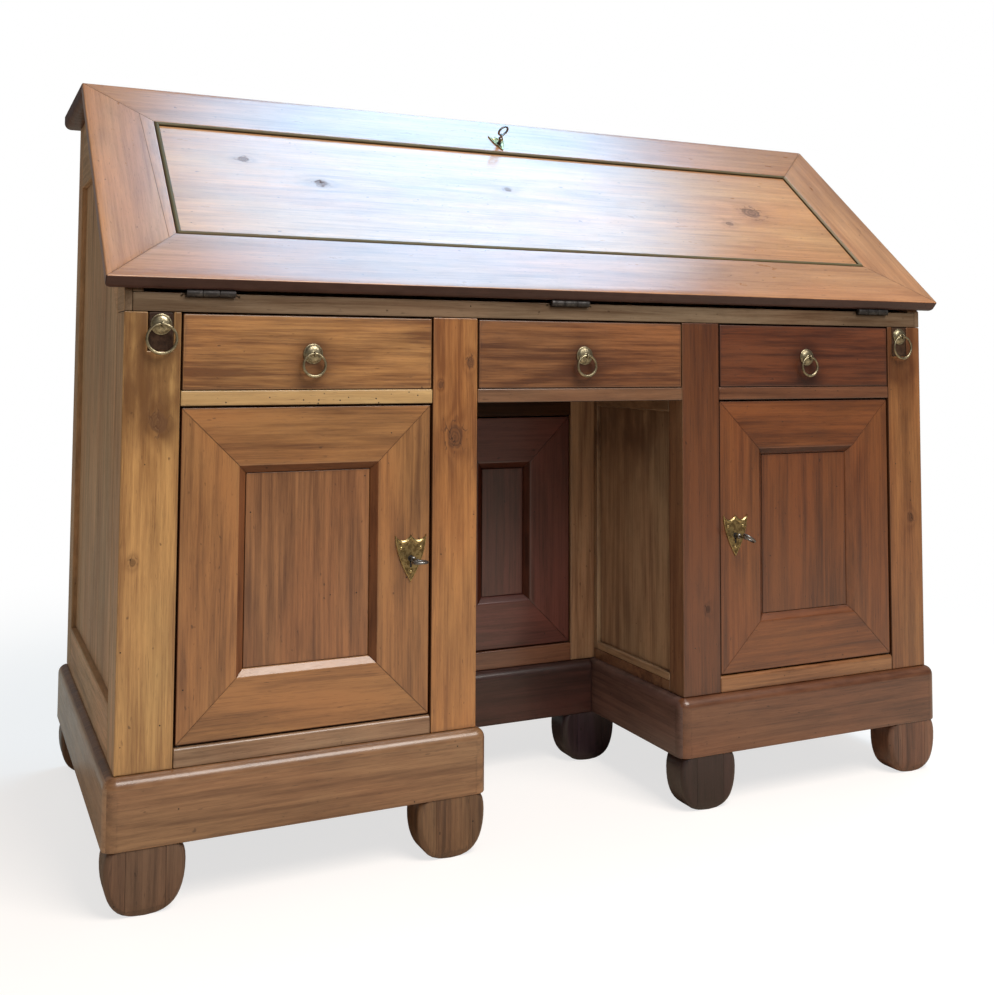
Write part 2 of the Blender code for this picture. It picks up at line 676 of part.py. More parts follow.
def make_lid(lid_axis):
    """Lid pieces lie in the lid's own frame: y up the slope from the hinge pins, z out of the slope."""
    shape = block((-LID_X, LID_X), (0.0, LID_LENGTH), (0.0, LID_THICKNESS))
    round_edges(shape, lambda a, b: near(a.z, 0.0) and near(b.z, 0.0) and near(a.x, b.x), END_ROUND)
    frame = add_piece("lid_frame", shape, "lid_wood", lid_axis, smooth=True)
    x = LID_X - LID_MEMBER_WIDTH
    low = LID_MEMBER_WIDTH
    high = LID_LENGTH - LID_MEMBER_WIDTH
    lip = LID_THICKNESS - LID_PANEL_SINK
    past = LID_THICKNESS + CUT_PAST
    opening = block((-x, x), (low, high), (-CUT_PAST, past))
    rebate_x = x + LID_PANEL_LAP
    rebate_y = (low - LID_PANEL_LAP, high + LID_PANEL_LAP)
    rebate = block((-rebate_x, rebate_x), rebate_y, (-CUT_PAST, lip))
    keyhole = (LID_LOCK_X, LID_LOCK_UP, 0.0)
    bore_ends = (LID_THICKNESS - KEY_DEPTH - RUNNING_GAP, past)
    bore = rod(KEY_RADIUS + RUNNING_GAP, "Z", bore_ends, keyhole, SMALL_STEPS)
    barrels = [rod(HINGE_RADIUS + RUNNING_GAP, "X", hinge_ends(place, GAP)) for place in HINGE_PLACES.values()]
    cut(frame, opening, rebate, bore, *barrels)
    panel = block(
        (GAP - rebate_x, rebate_x - GAP),
        (rebate_y[0] + GAP, rebate_y[1] - GAP),
        (lip - GAP - LID_PANEL_THICKNESS, lip - GAP),
    )
    add_piece("lid_panel", panel, "lid_wood", lid_axis)
    lock = add_empty("lid_lock", lid_axis, (LID_LOCK_X, LID_LOCK_UP, LID_THICKNESS), -math.pi / 2)
    make_lock("lid", lock, LID_PLATE_WIDTH, LID_PLATE_HEIGHT, LID_KEY_REACH, LID_KEY_TURN)


def shield_outline(width, height):
    """A lock plate with a scalloped top, waisted sides and a pointed foot, round its keyhole."""
    half, top = width / 2, height / 2
    right = []
    for step in range(ARC_STEPS):
        share = step / ARC_STEPS
        right.append((half * share, top - PLATE_SCALLOP * math.sin(math.pi * share)))
    for step in range(2 * ARC_STEPS):
        share = step / (2 * ARC_STEPS)
        belly = half * (1 - share**3) ** 0.75
        waist = PLATE_WAIST * math.sin(math.pi * min(1.0, 2 * share))
        right.append((belly - waist, top - height * share))
    left = [(-x, z) for x, z in reversed(right[1:])]
    return right + [(0.0, -top)] + left


def make_lock(name, lock, width, height, reach, turn):
    """Lock plate and key in the lock's frame: -y out of the face, z up it, the key on the y axis."""
    plate = prism(shield_outline(width, height), "Y", (-GAP - PLATE_THICKNESS, -GAP))
    plate = add_piece(f"{name}_escutcheon", plate, "brass", lock)
    hole = rod(KEY_RADIUS + RUNNING_GAP, "Y", (-CUT_PAST - PLATE_THICKNESS, CUT_PAST), steps=SMALL_STEPS)
    cut(plate, hole)

    bow_middle = KEY_BOW_LENGTH / 2 - reach
    shank_end = KEY_BOW_LENGTH - KEY_BOW_WIRE - reach
    collar = -KEY_COLLAR_PLACE
    profile = [
        (0.0, KEY_DEPTH),
        (KEY_RADIUS, KEY_DEPTH),
        (KEY_RADIUS, collar),
        (KEY_COLLAR_RADIUS, collar - KEY_COLLAR_LENGTH / 3),
        (KEY_COLLAR_RADIUS, collar - KEY_COLLAR_LENGTH * 2 / 3),
        (KEY_RADIUS, collar - KEY_COLLAR_LENGTH),
        (KEY_RADIUS, shank_end),
        (0.0, shank_end),
    ]
    key = add_piece(f"{name}_key", turned(profile, "Y", SMALL_STEPS), "steel", lock, smooth=True)
    across = KEY_BOW_WIDTH / 2 - KEY_BOW_WIRE
    along = KEY_BOW_LENGTH / 2 - KEY_BOW_WIRE
    bow = hoop(across, KEY_BOW_WIRE, "X", ROUND_STEPS)
    for corner in bow.verts:
        ring_point = Vector((0.0, corner.co.y, corner.co.z))
        core = ring_point.normalized()
        wire = ring_point - across * core
        corner.co.y = bow_middle + along * core.y + wire.y
        corner.co.z = across * core.z + wire.z
    bmesh.ops.rotate(bow, cent=(0, 0, 0), matrix=Matrix.Rotation(turn, 3, "Y"), verts=bow.verts)
    fuse(key, bow)


def make_door(name, desk, hinge_edge, free_edge, face, base, head):
    """A door with a sunk field and its two pivots, its origin on the pivot axis at its lower edge."""
    swing = 1 if free_edge > hinge_edge else -1
    front = face + DOOR_RECESS
    low, high = base + DOOR_GAP, head - DOOR_GAP
    wide = (hinge_edge + swing * DOOR_GAP, free_edge - swing * DOOR_GAP)
    pivot = pivot_place(hinge_edge, swing, face)
    shape = block(wide, (front, front + DOOR_THICKNESS), (low, high))
    shape.normal_update()
    field = [side for side in shape.faces if side.normal.y < -0.5]
    bmesh.ops.inset_region(shape, faces=field, thickness=DOOR_FRAME_WIDTH, use_even_offset=True)
    bmesh.ops.inset_region(shape, faces=field, thickness=FIELD_BEVEL, depth=-FIELD_SINK, use_even_offset=True)
    door = add_piece(name, shape, "door_wood", desk, (*pivot, low))
    centre = (*pivot, 0.0)
    lower = rod(PIVOT_RADIUS, "Z", (base - PIVOT_ENGAGEMENT, low + PIVOT_ROOT), centre, SMALL_STEPS)
    upper = rod(PIVOT_RADIUS, "Z", (high - PIVOT_ROOT, head + PIVOT_ENGAGEMENT), centre, SMALL_STEPS)
    fuse(door, lower, upper)
    return door


def make_doors(desk):
    for name, sign in both_sides():
        door = make_door(f"{name}_door", desk, sign * FAR_X, sign * NEAR_X, 0.0, DOOR_BASE, DOOR_HEAD)
        x = sign * (NEAR_X + DOOR_GAP + DOOR_LOCK_INSET)
        key = Vector((x, DOOR_RECESS, DOOR_BASE + DOOR_LOCK_HEIGHT))
        ends = (DOOR_RECESS - CUT_PAST, DOOR_RECESS + KEY_DEPTH + RUNNING_GAP)
        cut(door, rod(KEY_RADIUS + RUNNING_GAP, "Y", ends, (key.x, 0.0, key.z), SMALL_STEPS))
        lock = add_empty(f"{name}_lock", door, key - door.location)
        turn = LEFT_KEY_TURN if sign < 0 else RIGHT_KEY_TURN
        make_lock(f"{name}_door", lock, DOOR_PLATE_WIDTH, DOOR_PLATE_HEIGHT, DOOR_KEY_REACH, turn)
    make_door(
        "kneehole_door", desk, KNEE_OPENING_X, -KNEE_OPENING_X, KNEEHOLE_DEPTH, KNEE_DOOR_BASE, KNEE_DOOR_HEAD
    )


def make_pull(name, carrier, place, ring_radius):
    """A domed rosette with an eye, and the ring that hangs in it, at a place on the carrier's front face."""
    x, face, z = place
    profile = []
    for step in range(ARC_STEPS + 1):
        turn = math.pi / 2 * step / ARC_STEPS
        rise = ROSETTE_RIM + (ROSETTE_HEIGHT - ROSETTE_RIM) * math.cos(turn)
        profile.append((ROSETTE_RADIUS * math.sin(turn), -rise))
    profile += [(ROSETTE_RADIUS, -GAP), (0.0, -GAP)]
    dome = turned(profile, "Y", ROUND_STEPS)
    bmesh.ops.translate(dome, vec=place, verts=dome.verts)
    rosette = add_piece(f"{name}_rosette", dome, "brass", carrier, place, smooth=True)
    eye = (x, face - EYE_REACH, z)
    thick = (-EYE_THICKNESS / 2, EYE_THICKNESS / 2)
    fuse(rosette, rod(EYE_RADIUS, "X", thick, eye, SMALL_STEPS))
    cut(rosette, rod(RING_WIRE + RING_PLAY, "X", (-EYE_RADIUS, EYE_RADIUS), eye, SMALL_STEPS))
    ring = hoop(ring_radius, RING_WIRE, "Y")
    bmesh.ops.translate(ring, vec=(x, face - EYE_REACH, z - ring_radius), verts=ring.verts)
    add_piece(f"{name}_ring", ring, "brass", carrier, eye, smooth=True)


def make_drawers(desk):
    pedestal_middle = (NEAR_X + FAR_X) / 2
    drawers = {
        "left_drawer": (-pedestal_middle, PEDESTAL_OPENING),
        "centre_drawer": (0.0, KNEEHOLE_WIDTH),
        "right_drawer": (pedestal_middle, PEDESTAL_OPENING),
    }
    low, high = DRAWER_BASE + GAP, DRAWER_HEAD - DRAWER_GAP
    for name, (middle, opening) in drawers.items():
        half = opening / 2 - DRAWER_GAP
        shape = block((middle - half, middle + half), (0.0, DRAWER_DEPTH), (low, high))
        drawer = add_piece(name, shape, "drawer_wood", desk, (middle, 0.0, DRAWER_BASE))
        inner = half - DRAWER_WALL
        hollow = block(
            (middle - inner, middle + inner),
            (DRAWER_FRONT, DRAWER_DEPTH - DRAWER_WALL),
            (low + DRAWER_BOTTOM, high + CUT_PAST),
        )
        cut(drawer, hollow)
        make_pull(name, drawer, (0.0, 0.0, DRAWER_PULL_HEIGHT), DRAWER_RING_RADIUS)


def make_lopers(desk):
    top = DRAWER_HEAD - LOPER_PLAY
    for name, sign in both_sides():
        wide = (sign * (LOPER_INNER_X + LOPER_PLAY), sign * (LOPER_OUTER_X - LOPER_PLAY))
        shape = block(wide, (0.0, LOPER_LENGTH), (LOPER_BASE + GAP, top))
        origin = (sum(wide) / 2, 0.0, top)
        loper = add_piece(f"{name}_loper", shape, "drawer_wood", desk, origin)
        make_pull(f"{name}_loper", loper, (0.0, 0.0, -LOPER_PULL_DROP), LOPER_RING_RADIUS)


def main():
    clear_scene()
    desk = add_empty("desk", None, (0.0, FRONT_Y, 0.0))
    make_sides(desk)
    make_inner_sides(desk)
    make_case_boards(desk)
    make_stiles(desk)
    make_rails(desk)
    make_hinge_rail(desk)
    make_lid_hinges(desk)
    make_kneehole_frame(desk)
    make_plinths(desk)
    make_feet(desk)
    make_doors(desk)
    make_drawers(desk)
    make_lopers(desk)
    lid_axis = add_empty("lid_axis", desk, (0.0, -PIN_AHEAD, WRITING_LEVEL), LID_SLOPE)
    make_lid(lid_axis)


main()
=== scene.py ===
"""Dresses the slant-front desk: waxed boards with their grain and wear, metal fittings, and a studio."""

import json
import math

import bmesh
import bpy
from bpy.props import FloatProperty, FloatVectorProperty, PointerProperty
from mathutils import Matrix, Vector


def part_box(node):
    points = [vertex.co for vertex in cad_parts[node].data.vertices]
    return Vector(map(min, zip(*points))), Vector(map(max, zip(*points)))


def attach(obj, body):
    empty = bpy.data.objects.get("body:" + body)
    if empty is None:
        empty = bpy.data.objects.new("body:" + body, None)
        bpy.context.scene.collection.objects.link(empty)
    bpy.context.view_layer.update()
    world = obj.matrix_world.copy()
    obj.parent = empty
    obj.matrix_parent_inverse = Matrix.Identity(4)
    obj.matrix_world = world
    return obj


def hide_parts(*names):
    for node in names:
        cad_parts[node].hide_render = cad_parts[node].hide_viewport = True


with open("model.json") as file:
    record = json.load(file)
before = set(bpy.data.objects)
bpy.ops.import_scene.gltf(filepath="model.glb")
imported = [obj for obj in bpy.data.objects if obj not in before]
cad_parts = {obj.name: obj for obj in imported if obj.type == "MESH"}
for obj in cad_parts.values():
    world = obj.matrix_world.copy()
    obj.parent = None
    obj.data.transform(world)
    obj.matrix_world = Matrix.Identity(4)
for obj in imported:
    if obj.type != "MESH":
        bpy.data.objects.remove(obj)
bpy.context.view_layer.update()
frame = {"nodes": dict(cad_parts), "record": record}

bl_info = {
    "name": "Slant-front desk",
    "version": (1, 0, 0),
    "blender": (4, 5, 0),
    "location": "3D View > Sidebar > Desk",
    "description": "Models the boards, fittings and finishes of a slant-front kneehole desk",
    "category": "Add Mesh",
}

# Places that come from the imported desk
JOINTS = {joint["name"]: joint for joint in frame["record"]["behaviour"]["joints"]}
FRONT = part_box("left_inner_stile")[0].y
LID_PIN = Vector(JOINTS["lid_hinge"]["pos_m"])
LID_NORMAL = Vector(JOINTS["lid_key_turn"]["axis"])
LID_SLOPE = math.atan2(-LID_NORMAL.y, LID_NORMAL.z)
LID_PLACE = Matrix.Translation(LID_PIN) @ Matrix.Rotation(LID_SLOPE, 4, "X")
SIDES = (("left", -1), ("right", 1))
HINGES = ("left", "middle", "right")
DRAWERS = ("left_drawer", "centre_drawer", "right_drawer")
ALONG_X, ALONG_Y, ALONG_Z = 0, 1, 2
QUARTER = math.pi / 2
FORWARD = (0, -1, 0)
WHITE = (1.0, 1.0, 1.0, 1.0)
# Distance under which two points count as one
TOUCH = 1e-5
# Clearance between pieces that lie close to each other
SLACK = 0.0003
# Angle between two faces, in radians, above which their edge counts as sharp
SHARP = 0.5


def length(name, description, default):
    return FloatProperty(name=name, description=description, default=default, min=0.0, unit="LENGTH")


def colour(name, description, default):
    return FloatVectorProperty(
        name=name, description=description, default=default, min=0.0, max=1.0, subtype="COLOR"
    )


class DeskShape(bpy.types.PropertyGroup):
    """Sizes of the boards and fittings that a user may change."""

    edge_round: length("Edge rounding", "Rounding of the boards' worn edges", 0.0016)
    worn_margin: length("Worn margin", "Width of the worn strip along a board's edges", 0.009)
    joint_gap: length("Joint gap", "Half of the open line in a mitre or a butt joint", 0.00025)
    lid_length: length("Lid length", "Length of the lid up its slope", 0.480)
    lid_thickness: length("Lid thickness", "Thickness of the lid's frame", 0.024)
    lid_member: length("Lid member", "Width of the lid's frame", 0.097)
    lid_sink: length("Lid panel sink", "Depth of the lid's panel under its frame", 0.0030)
    lid_lap: length("Lid panel lap", "How far the lid's panel runs under its frame", 0.010)
    lid_bead: length("Lid bead", "Width of the dark bead round the lid's panel", 0.0066)
    end_round: length("End rounding", "Rounding under the ends of the lid and the top", 0.011)
    door_member: length("Door member", "Flat width of a door's frame", 0.0765)
    door_bevel: length("Door bevel", "Width of the bevel round a door's field", 0.010)
    door_sink: length("Door sink", "Depth of a door's field under its frame", 0.0075)
    door_thickness: length("Door thickness", "Thickness of a door's frame", 0.022)
    door_pivot: length("Door pivot", "Length of a pivot outside its door", 0.008)
    drawer_front: length("Drawer front", "Thickness of a drawer's front", 0.020)
    drawer_wall: length("Drawer wall", "Thickness of a drawer's sides and back", 0.012)
    drawer_bottom: length("Drawer bottom", "Thickness of a drawer's bottom", 0.009)
    side_sink: length("Side sink", "Depth of a side's panel under its frame", 0.008)
    side_lip: length("Side lip", "Thickness of a side beside the hinge rail", 0.010)
    plinth_thickness: length("Plinth thickness", "Thickness of the plinths", 0.045)
    plinth_round: length("Plinth rounding", "Rounding of the plinths' top edge", 0.0135)
    plinth_corner: length("Plinth corner", "Rounding of the plinths' upright corners", 0.016)
    foot_base: length("Foot base", "Width of a foot on the floor", 0.028)
    foot_top: length("Foot top", "Width of a foot under the plinth", 0.090)
    foot_shoulder: length("Foot shoulder", "Height of a foot above its widest level", 0.022)
    ring_wire: length("Ring wire", "Radius of the ring pulls' wire", 0.0018)
    plate_thickness: length("Lock plate thickness", "Thickness of a lock plate", 0.002)
    plate_rim: length("Lock plate rim", "Width of the raised rim of a lock plate", 0.0019)


class DeskFinish(bpy.types.PropertyGroup):
    """Colours of the woods and metals."""

    honey_wood_light: colour("Honey light", "Stiles, rails and plinths, light grain", (0.52, 0.27, 0.105))
    honey_wood_dark: colour("Honey dark", "Stiles, rails and plinths, dark grain", (0.22, 0.090, 0.028))
    lid_wood_light: colour("Lid light", "Lid and top, light grain", (0.58, 0.285, 0.136))
    lid_wood_dark: colour("Lid dark", "Lid and top, dark grain", (0.23, 0.092, 0.042))
    drawer_wood_light: colour("Drawer light", "Drawers, light grain", (0.40, 0.18, 0.068))
    drawer_wood_dark: colour("Drawer dark", "Drawers, dark grain", (0.14, 0.050, 0.018))
    door_wood_light: colour("Door light", "Doors and kneehole, light grain", (0.37, 0.175, 0.078))
    door_wood_dark: colour("Door dark", "Doors and kneehole, dark grain", (0.15, 0.060, 0.025))
    rail_wood_light: colour("Rail light", "Drawer rails, light grain", (0.60, 0.37, 0.165))
    rail_wood_dark: colour("Rail dark", "Drawer rails, dark grain", (0.34, 0.18, 0.070))
    # The sides' colours are greyed as a painted sheen seen at a grazing angle
    side_wood_light: colour("Side light", "Sides, light grain", (0.71, 0.45, 0.262))
    side_wood_dark: colour("Side dark", "Sides, dark grain", (0.30, 0.183, 0.102))
    foot_wood_light: colour("Foot light", "Feet and lopers, light grain", (0.24, 0.125, 0.065))
    foot_wood_dark: colour("Foot dark", "Feet and lopers, dark grain", (0.075, 0.034, 0.018))
    bead_wood_light: colour("Bead light", "Bead round the lid's panel, light grain", (0.150, 0.118, 0.060))
    bead_wood_dark: colour("Bead dark", "Bead round the lid's panel, dark grain", (0.080, 0.062, 0.032))
    inside_wood_light: colour("Inside light", "Unpolished inside boards, light grain", (0.38, 0.235, 0.125))
    inside_wood_dark: colour("Inside dark", "Unpolished inside boards, dark grain", (0.21, 0.11, 0.05))
    bronze_bright: colour("Bronze bright", "Rubbed metal of the pulls", (0.50, 0.43, 0.28))
    bronze_dull: colour("Bronze dull", "Tarnished metal of the pulls", (0.18, 0.15, 0.095))
    brass_bright: colour("Brass bright", "Rubbed brass", (0.50, 0.38, 0.18))
    brass_dull: colour("Brass dull", "Tarnished brass", (0.17, 0.115, 0.05))
    steel_bright: colour("Steel bright", "Rubbed steel", (0.30, 0.29, 0.28))
    steel_dull: colour("Steel dull", "Dark steel", (0.065, 0.06, 0.06))


# Materials


class Sheet:
    """Adds nodes to a node tree and joins them."""

    def __init__(self, tree):
        self.tree = tree

    def node(self, kind, inputs=None, **settings):
        made = self.tree.nodes.new(kind)
        for name, value in settings.items():
            setattr(made, name, value)
        for name, value in (inputs or {}).items():
            if isinstance(value, bpy.types.NodeSocket):
                self.tree.links.new(value, made.inputs[name])
            else:
                made.inputs[name].default_value = value
        return made

    def math(self, operation, first, second=0.0, clamp=False):
        inputs = {0: first, 1: second}
        return self.node("ShaderNodeMath", inputs, operation=operation, use_clamp=clamp).outputs[0]

    def plus(self, first, second, clamp=False):
        return self.math("ADD", first, second, clamp)

    def times(self, first, second, clamp=False):
        return self.math("MULTIPLY", first, second, clamp)

    def around(self, value, amount, middle=0.5):
        """The value's distance from its middle, times an amount."""
        return self.times(self.math("SUBTRACT", value, middle), amount)

    def vector(self, operation, first, second):
        return self.node("ShaderNodeVectorMath", {0: first, 1: second}, operation=operation).outputs[0]

    def span(self, vector):
        return self.node("ShaderNodeVectorMath", {0: vector}, operation="LENGTH").outputs["Value"]

    def place(self):
        return self.node("ShaderNodeTexCoord").outputs["Object"]

    def noise(self, vector, along, across, detail=2.0, roughness=0.5, output="Fac"):
        """Noise with a scale along the grain and another across it."""
        vector = self.vector("MULTIPLY", vector, (along, across, across))
        inputs = {"Vector": vector, "Scale": 1.0, "Detail": detail, "Roughness": roughness}
        return self.node("ShaderNodeTexNoise", inputs).outputs[output]

    def ramp(self, value, low, high):
        inputs = {"Value": value, 1: low, 2: high}
        return self.node("ShaderNodeMapRange", inputs, interpolation_type="SMOOTHSTEP").outputs[0]

    def mix(self, share, first, second, blend="MIX"):
        inputs = {0: share, 6: first, 7: second}
        return self.node("ShaderNodeMix", inputs, data_type="RGBA", blend_type=blend).outputs[2]

    def tint(self, colour, shares):
        return self.mix(1.0, colour, (*shares, 1.0), "MULTIPLY")

    def blend(self, share, first, second):
        return self.node("ShaderNodeMixShader", {0: share, 1: first, 2: second}).outputs[0]

    def glow(self, kind, colour, strength):
        return self.node(kind, {"Color": colour, "Strength": strength}).outputs[0]


def new_group(name, inputs, outputs):
    tree = bpy.data.node_groups.new(name, "ShaderNodeTree")
    for socket, kind in inputs:
        tree.interface.new_socket(socket, in_out="INPUT", socket_type=f"NodeSocket{kind}")
    for socket, kind in outputs:
        tree.interface.new_socket(socket, in_out="OUTPUT", socket_type=f"NodeSocket{kind}")
    return tree


SURFACE = [("Colour", "Color"), ("Roughness", "Float"), ("Height", "Float")]


def wood_figure():
    """Grain, pores, knots, worn edges and dark patches of a waxed board, and painted shade in its gaps,
    shared by all the woods.
    """
    found = bpy.data.node_groups.get("wood_figure")
    if found:
        return found
    values = ("Wear", "Knot", "Stain", "Contrast", "Grime", "Worm Holes", "Base Roughness", "Base Coat")
    inputs = [("Grain", "Vector"), ("Light", "Color"), ("Dark", "Color")]
    inputs += [(value, "Float") for value in values]
    tree = new_group("wood_figure", inputs, [*SURFACE, ("Coat", "Float")])
    s = Sheet(tree)
    given = s.node("NodeGroupInput").outputs
    grain, wear, light, dark = given["Grain"], given["Wear"], given["Light"], given["Dark"]

    # The grain's lines, bent a little and drawn round the knots
    bend = s.noise(grain, 1.8, 8.0, output="Color")
    bend = s.vector("MULTIPLY", s.vector("SUBTRACT", bend, (0.5, 0.5, 0.5)), (0.06, 0.016, 0.016))
    bent = s.vector("ADD", grain, bend)
    knot = s.plus(given["Knot"], s.around(s.noise(grain, 40.0, 70.0, detail=3.0), 0.9))
    figure = s.noise(bent, 1.4, 15.0, detail=1.5)
    swirl = s.math("EXPONENT", s.times(knot, -0.8))
    rings = s.math("SINE", s.plus(s.times(figure, 46.0), s.times(swirl, 24.0)))
    broad = s.noise(grain, 2.6, 9.0, detail=3.0)
    mottle = s.noise(bent, 6.0, 50.0, detail=5.0, roughness=0.62)
    band = s.noise(bent, 2.5, 110.0, detail=3.0, roughness=0.6)
    streak = s.noise(bent, 6.0, 260.0, detail=4.0, roughness=0.65)
    fibre = s.noise(bent, 28.0, 1200.0)
    pores = s.ramp(s.noise(bent, 55.0, 1900.0, detail=1.0), 0.60, 0.74)
    tone = s.times(rings, 0.10)
    for layer, amount in ((broad, 1.1), (mottle, 1.0), (band, 1.0), (streak, 1.1), (fibre, 0.5)):
        tone = s.plus(tone, s.around(layer, amount))
    tone = s.plus(0.42, s.times(tone, given["Contrast"]), clamp=True)
    hue = s.ramp(s.noise(grain, 3.5, 11.0, detail=3.0), 0.34, 0.66)
    hue = s.mix(hue, (1.03, 0.97, 0.92, 1.0), (0.98, 1.02, 1.01, 1.0))
    shade = s.mix(1.0, s.mix(tone, light, dark), hue, "MULTIPLY")

    # Knots: a dark halo, year rings in the core, a broken rim and fine cracks
    halo = s.math("EXPONENT", s.times(s.math("POWER", knot, 1.5), -0.40))
    years = s.plus(0.48, s.times(s.math("SINE", s.times(knot, 17.0)), 0.20))
    core = s.times(s.ramp(knot, 1.05, 0.85), years)
    rim = s.ramp(s.math("ABSOLUTE", s.math("SUBTRACT", knot, 0.95)), 0.30, 0.05)
    rim = s.times(rim, s.ramp(s.noise(grain, 60.0, 90.0), 0.30, 0.60))
    check = s.math("ABSOLUTE", s.around(s.noise(grain, 35.0, 80.0), 1.0))
    check = s.times(s.ramp(check, 0.022, 0.006), s.ramp(knot, 2.4, 0.9))
    core = s.math("MAXIMUM", s.math("MAXIMUM", core, s.times(rim, 0.62)), check)

    # Marks: smudges, flecks, dark patches of dirt and of painted shadow, grimy and rubbed edges, dents, worm
    # holes, painted shade in gaps
    smudge = s.ramp(s.noise(grain, 5.0, 13.0, detail=5.0, roughness=0.6), 0.56, 0.78)
    fleck = s.ramp(s.noise(grain, 60.0, 330.0, detail=1.0), 0.72, 0.80)
    patch_share = s.times(given["Stain"], 1.6, clamp=True)
    patch_mask = s.times(patch_share, s.ramp(s.noise(grain, 22.0, 60.0, detail=5.0), 0.05, 0.65))
    spots = s.noise(grain, 24.0, 70.0, detail=4.0, roughness=0.6)
    grime = s.times(s.ramp(s.plus(wear, s.around(spots, 1.4)), 0.55, 1.15), given["Grime"])
    rub = s.ramp(s.plus(wear, s.around(spots, 0.5)), 0.93, 1.08)
    dents = s.ramp(s.noise(grain, 85.0, 150.0, detail=1.0), 0.74, 0.82)
    # Painted shade on the faces that stand in a gap
    gap_shade = s.times(s.ramp(wear, 1.15, 1.75), 0.90)
    cells = s.node("ShaderNodeTexVoronoi", {"Vector": grain, "Scale": 95.0}).outputs
    lot = s.node("ShaderNodeSeparateColor", {0: cells["Color"]}).outputs[0]
    hole = s.times(s.ramp(cells["Distance"], 0.13, 0.06), s.math("LESS_THAN", lot, given["Worm Holes"]))

    deep = s.tint(dark, (0.30, 0.26, 0.24))
    patch_colour = s.tint(dark, (0.55, 0.48, 0.44))
    pale = s.tint(light, (1.35, 1.32, 1.25))
    black = (0.010, 0.006, 0.004, 1.0)
    layers = ((pores, 0.35, deep), (halo, 0.60, dark), (core, 1.0, deep), (smudge, 0.25, deep))
    layers += ((fleck, 0.45, deep), (patch_mask, 0.85, patch_colour), (grime, 0.75, deep), (rub, 0.32, pale))
    layers += ((dents, 0.6, deep), (gap_shade, 1.0, deep), (hole, 1.0, black))
    for mask, amount, colour in layers:
        shade = s.mix(s.times(mask, amount), shade, colour)

    rough = s.plus(given["Base Roughness"], s.around(spots, 0.25))
    for mask, amount in ((grime, 0.15), (core, 0.30), (pores, 0.12)):
        rough = s.plus(rough, s.times(mask, amount), clamp=True)
    bare = s.math("MAXIMUM", hole, s.times(patch_mask, 0.6))
    for mask in (core, gap_shade):
        bare = s.math("MAXIMUM", bare, mask)
    coat = s.times(given["Base Coat"], s.math("SUBTRACT", 1.0, bare, clamp=True))
    planed = s.noise(grain, 7.0, 26.0, detail=1.0)
    height = s.times(planed, 2.4)
    marks = ((streak, 0.55), (fibre, 0.22), (pores, -0.35), (dents, -1.3), (hole, -2.5), (check, -1.5))
    for mark, amount in marks:
        height = s.plus(height, s.times(mark, amount))
    s.node("NodeGroupOutput", {"Colour": shade, "Roughness": rough, "Height": height, "Coat": coat})
    return tree


def metal_patina():
    """Rubbed and tarnished places on a metal fitting."""
    found = bpy.data.node_groups.get("metal_patina")
    if found:
        return found
    inputs = [("Place", "Vector"), ("Bright", "Color"), ("Dull", "Color"), ("Tarnish", "Float")]
    tree = new_group("metal_patina", inputs, SURFACE)
    s = Sheet(tree)
    given = s.node("NodeGroupInput").outputs
    blotch = s.noise(given["Place"], 170.0, 170.0, detail=4.0, roughness=0.65)
    grit = s.noise(given["Place"], 900.0, 900.0, detail=3.0)
    dirt = s.ramp(s.plus(blotch, s.around(grit, 0.35)), 0.40, 0.70)
    dirt = s.plus(dirt, s.around(given["Tarnish"], 2.0, middle=0.8), clamp=True)
    dirt = s.times(dirt, given["Tarnish"], clamp=True)
    shade = s.mix(dirt, given["Bright"], given["Dull"])
    rough = s.plus(0.26, s.times(dirt, 0.32))
    height = s.plus(blotch, s.times(grit, 0.4))
    s.node("NodeGroupOutput", {"Colour": shade, "Roughness": rough, "Height": height})
    return tree


# Contrast, grime, worm holes, roughness, coat and bump strength of each wood
WOOD_WAYS = {
    "honey_wood": (1.30, 0.40, 0.05, 0.38, 0.80, 0.25),
    "lid_wood": (0.70, 0.25, 0.02, 0.32, 1.00, 0.16),
    "drawer_wood": (1.70, 0.50, 0.02, 0.36, 0.80, 0.25),
    "door_wood": (1.40, 0.35, 0.02, 0.38, 0.80, 0.25),
    "rail_wood": (0.90, 0.35, 0.80, 0.42, 0.50, 0.30),
    "side_wood": (1.00, 0.45, 0.02, 0.50, 0.10, 0.30),
    "foot_wood": (1.30, 0.60, 0.08, 0.42, 0.40, 0.35),
    "bead_wood": (0.60, 0.20, 0.00, 0.50, 0.00, 0.10),
    "inside_wood": (0.80, 0.45, 0.02, 0.66, 0.00, 0.40),
}
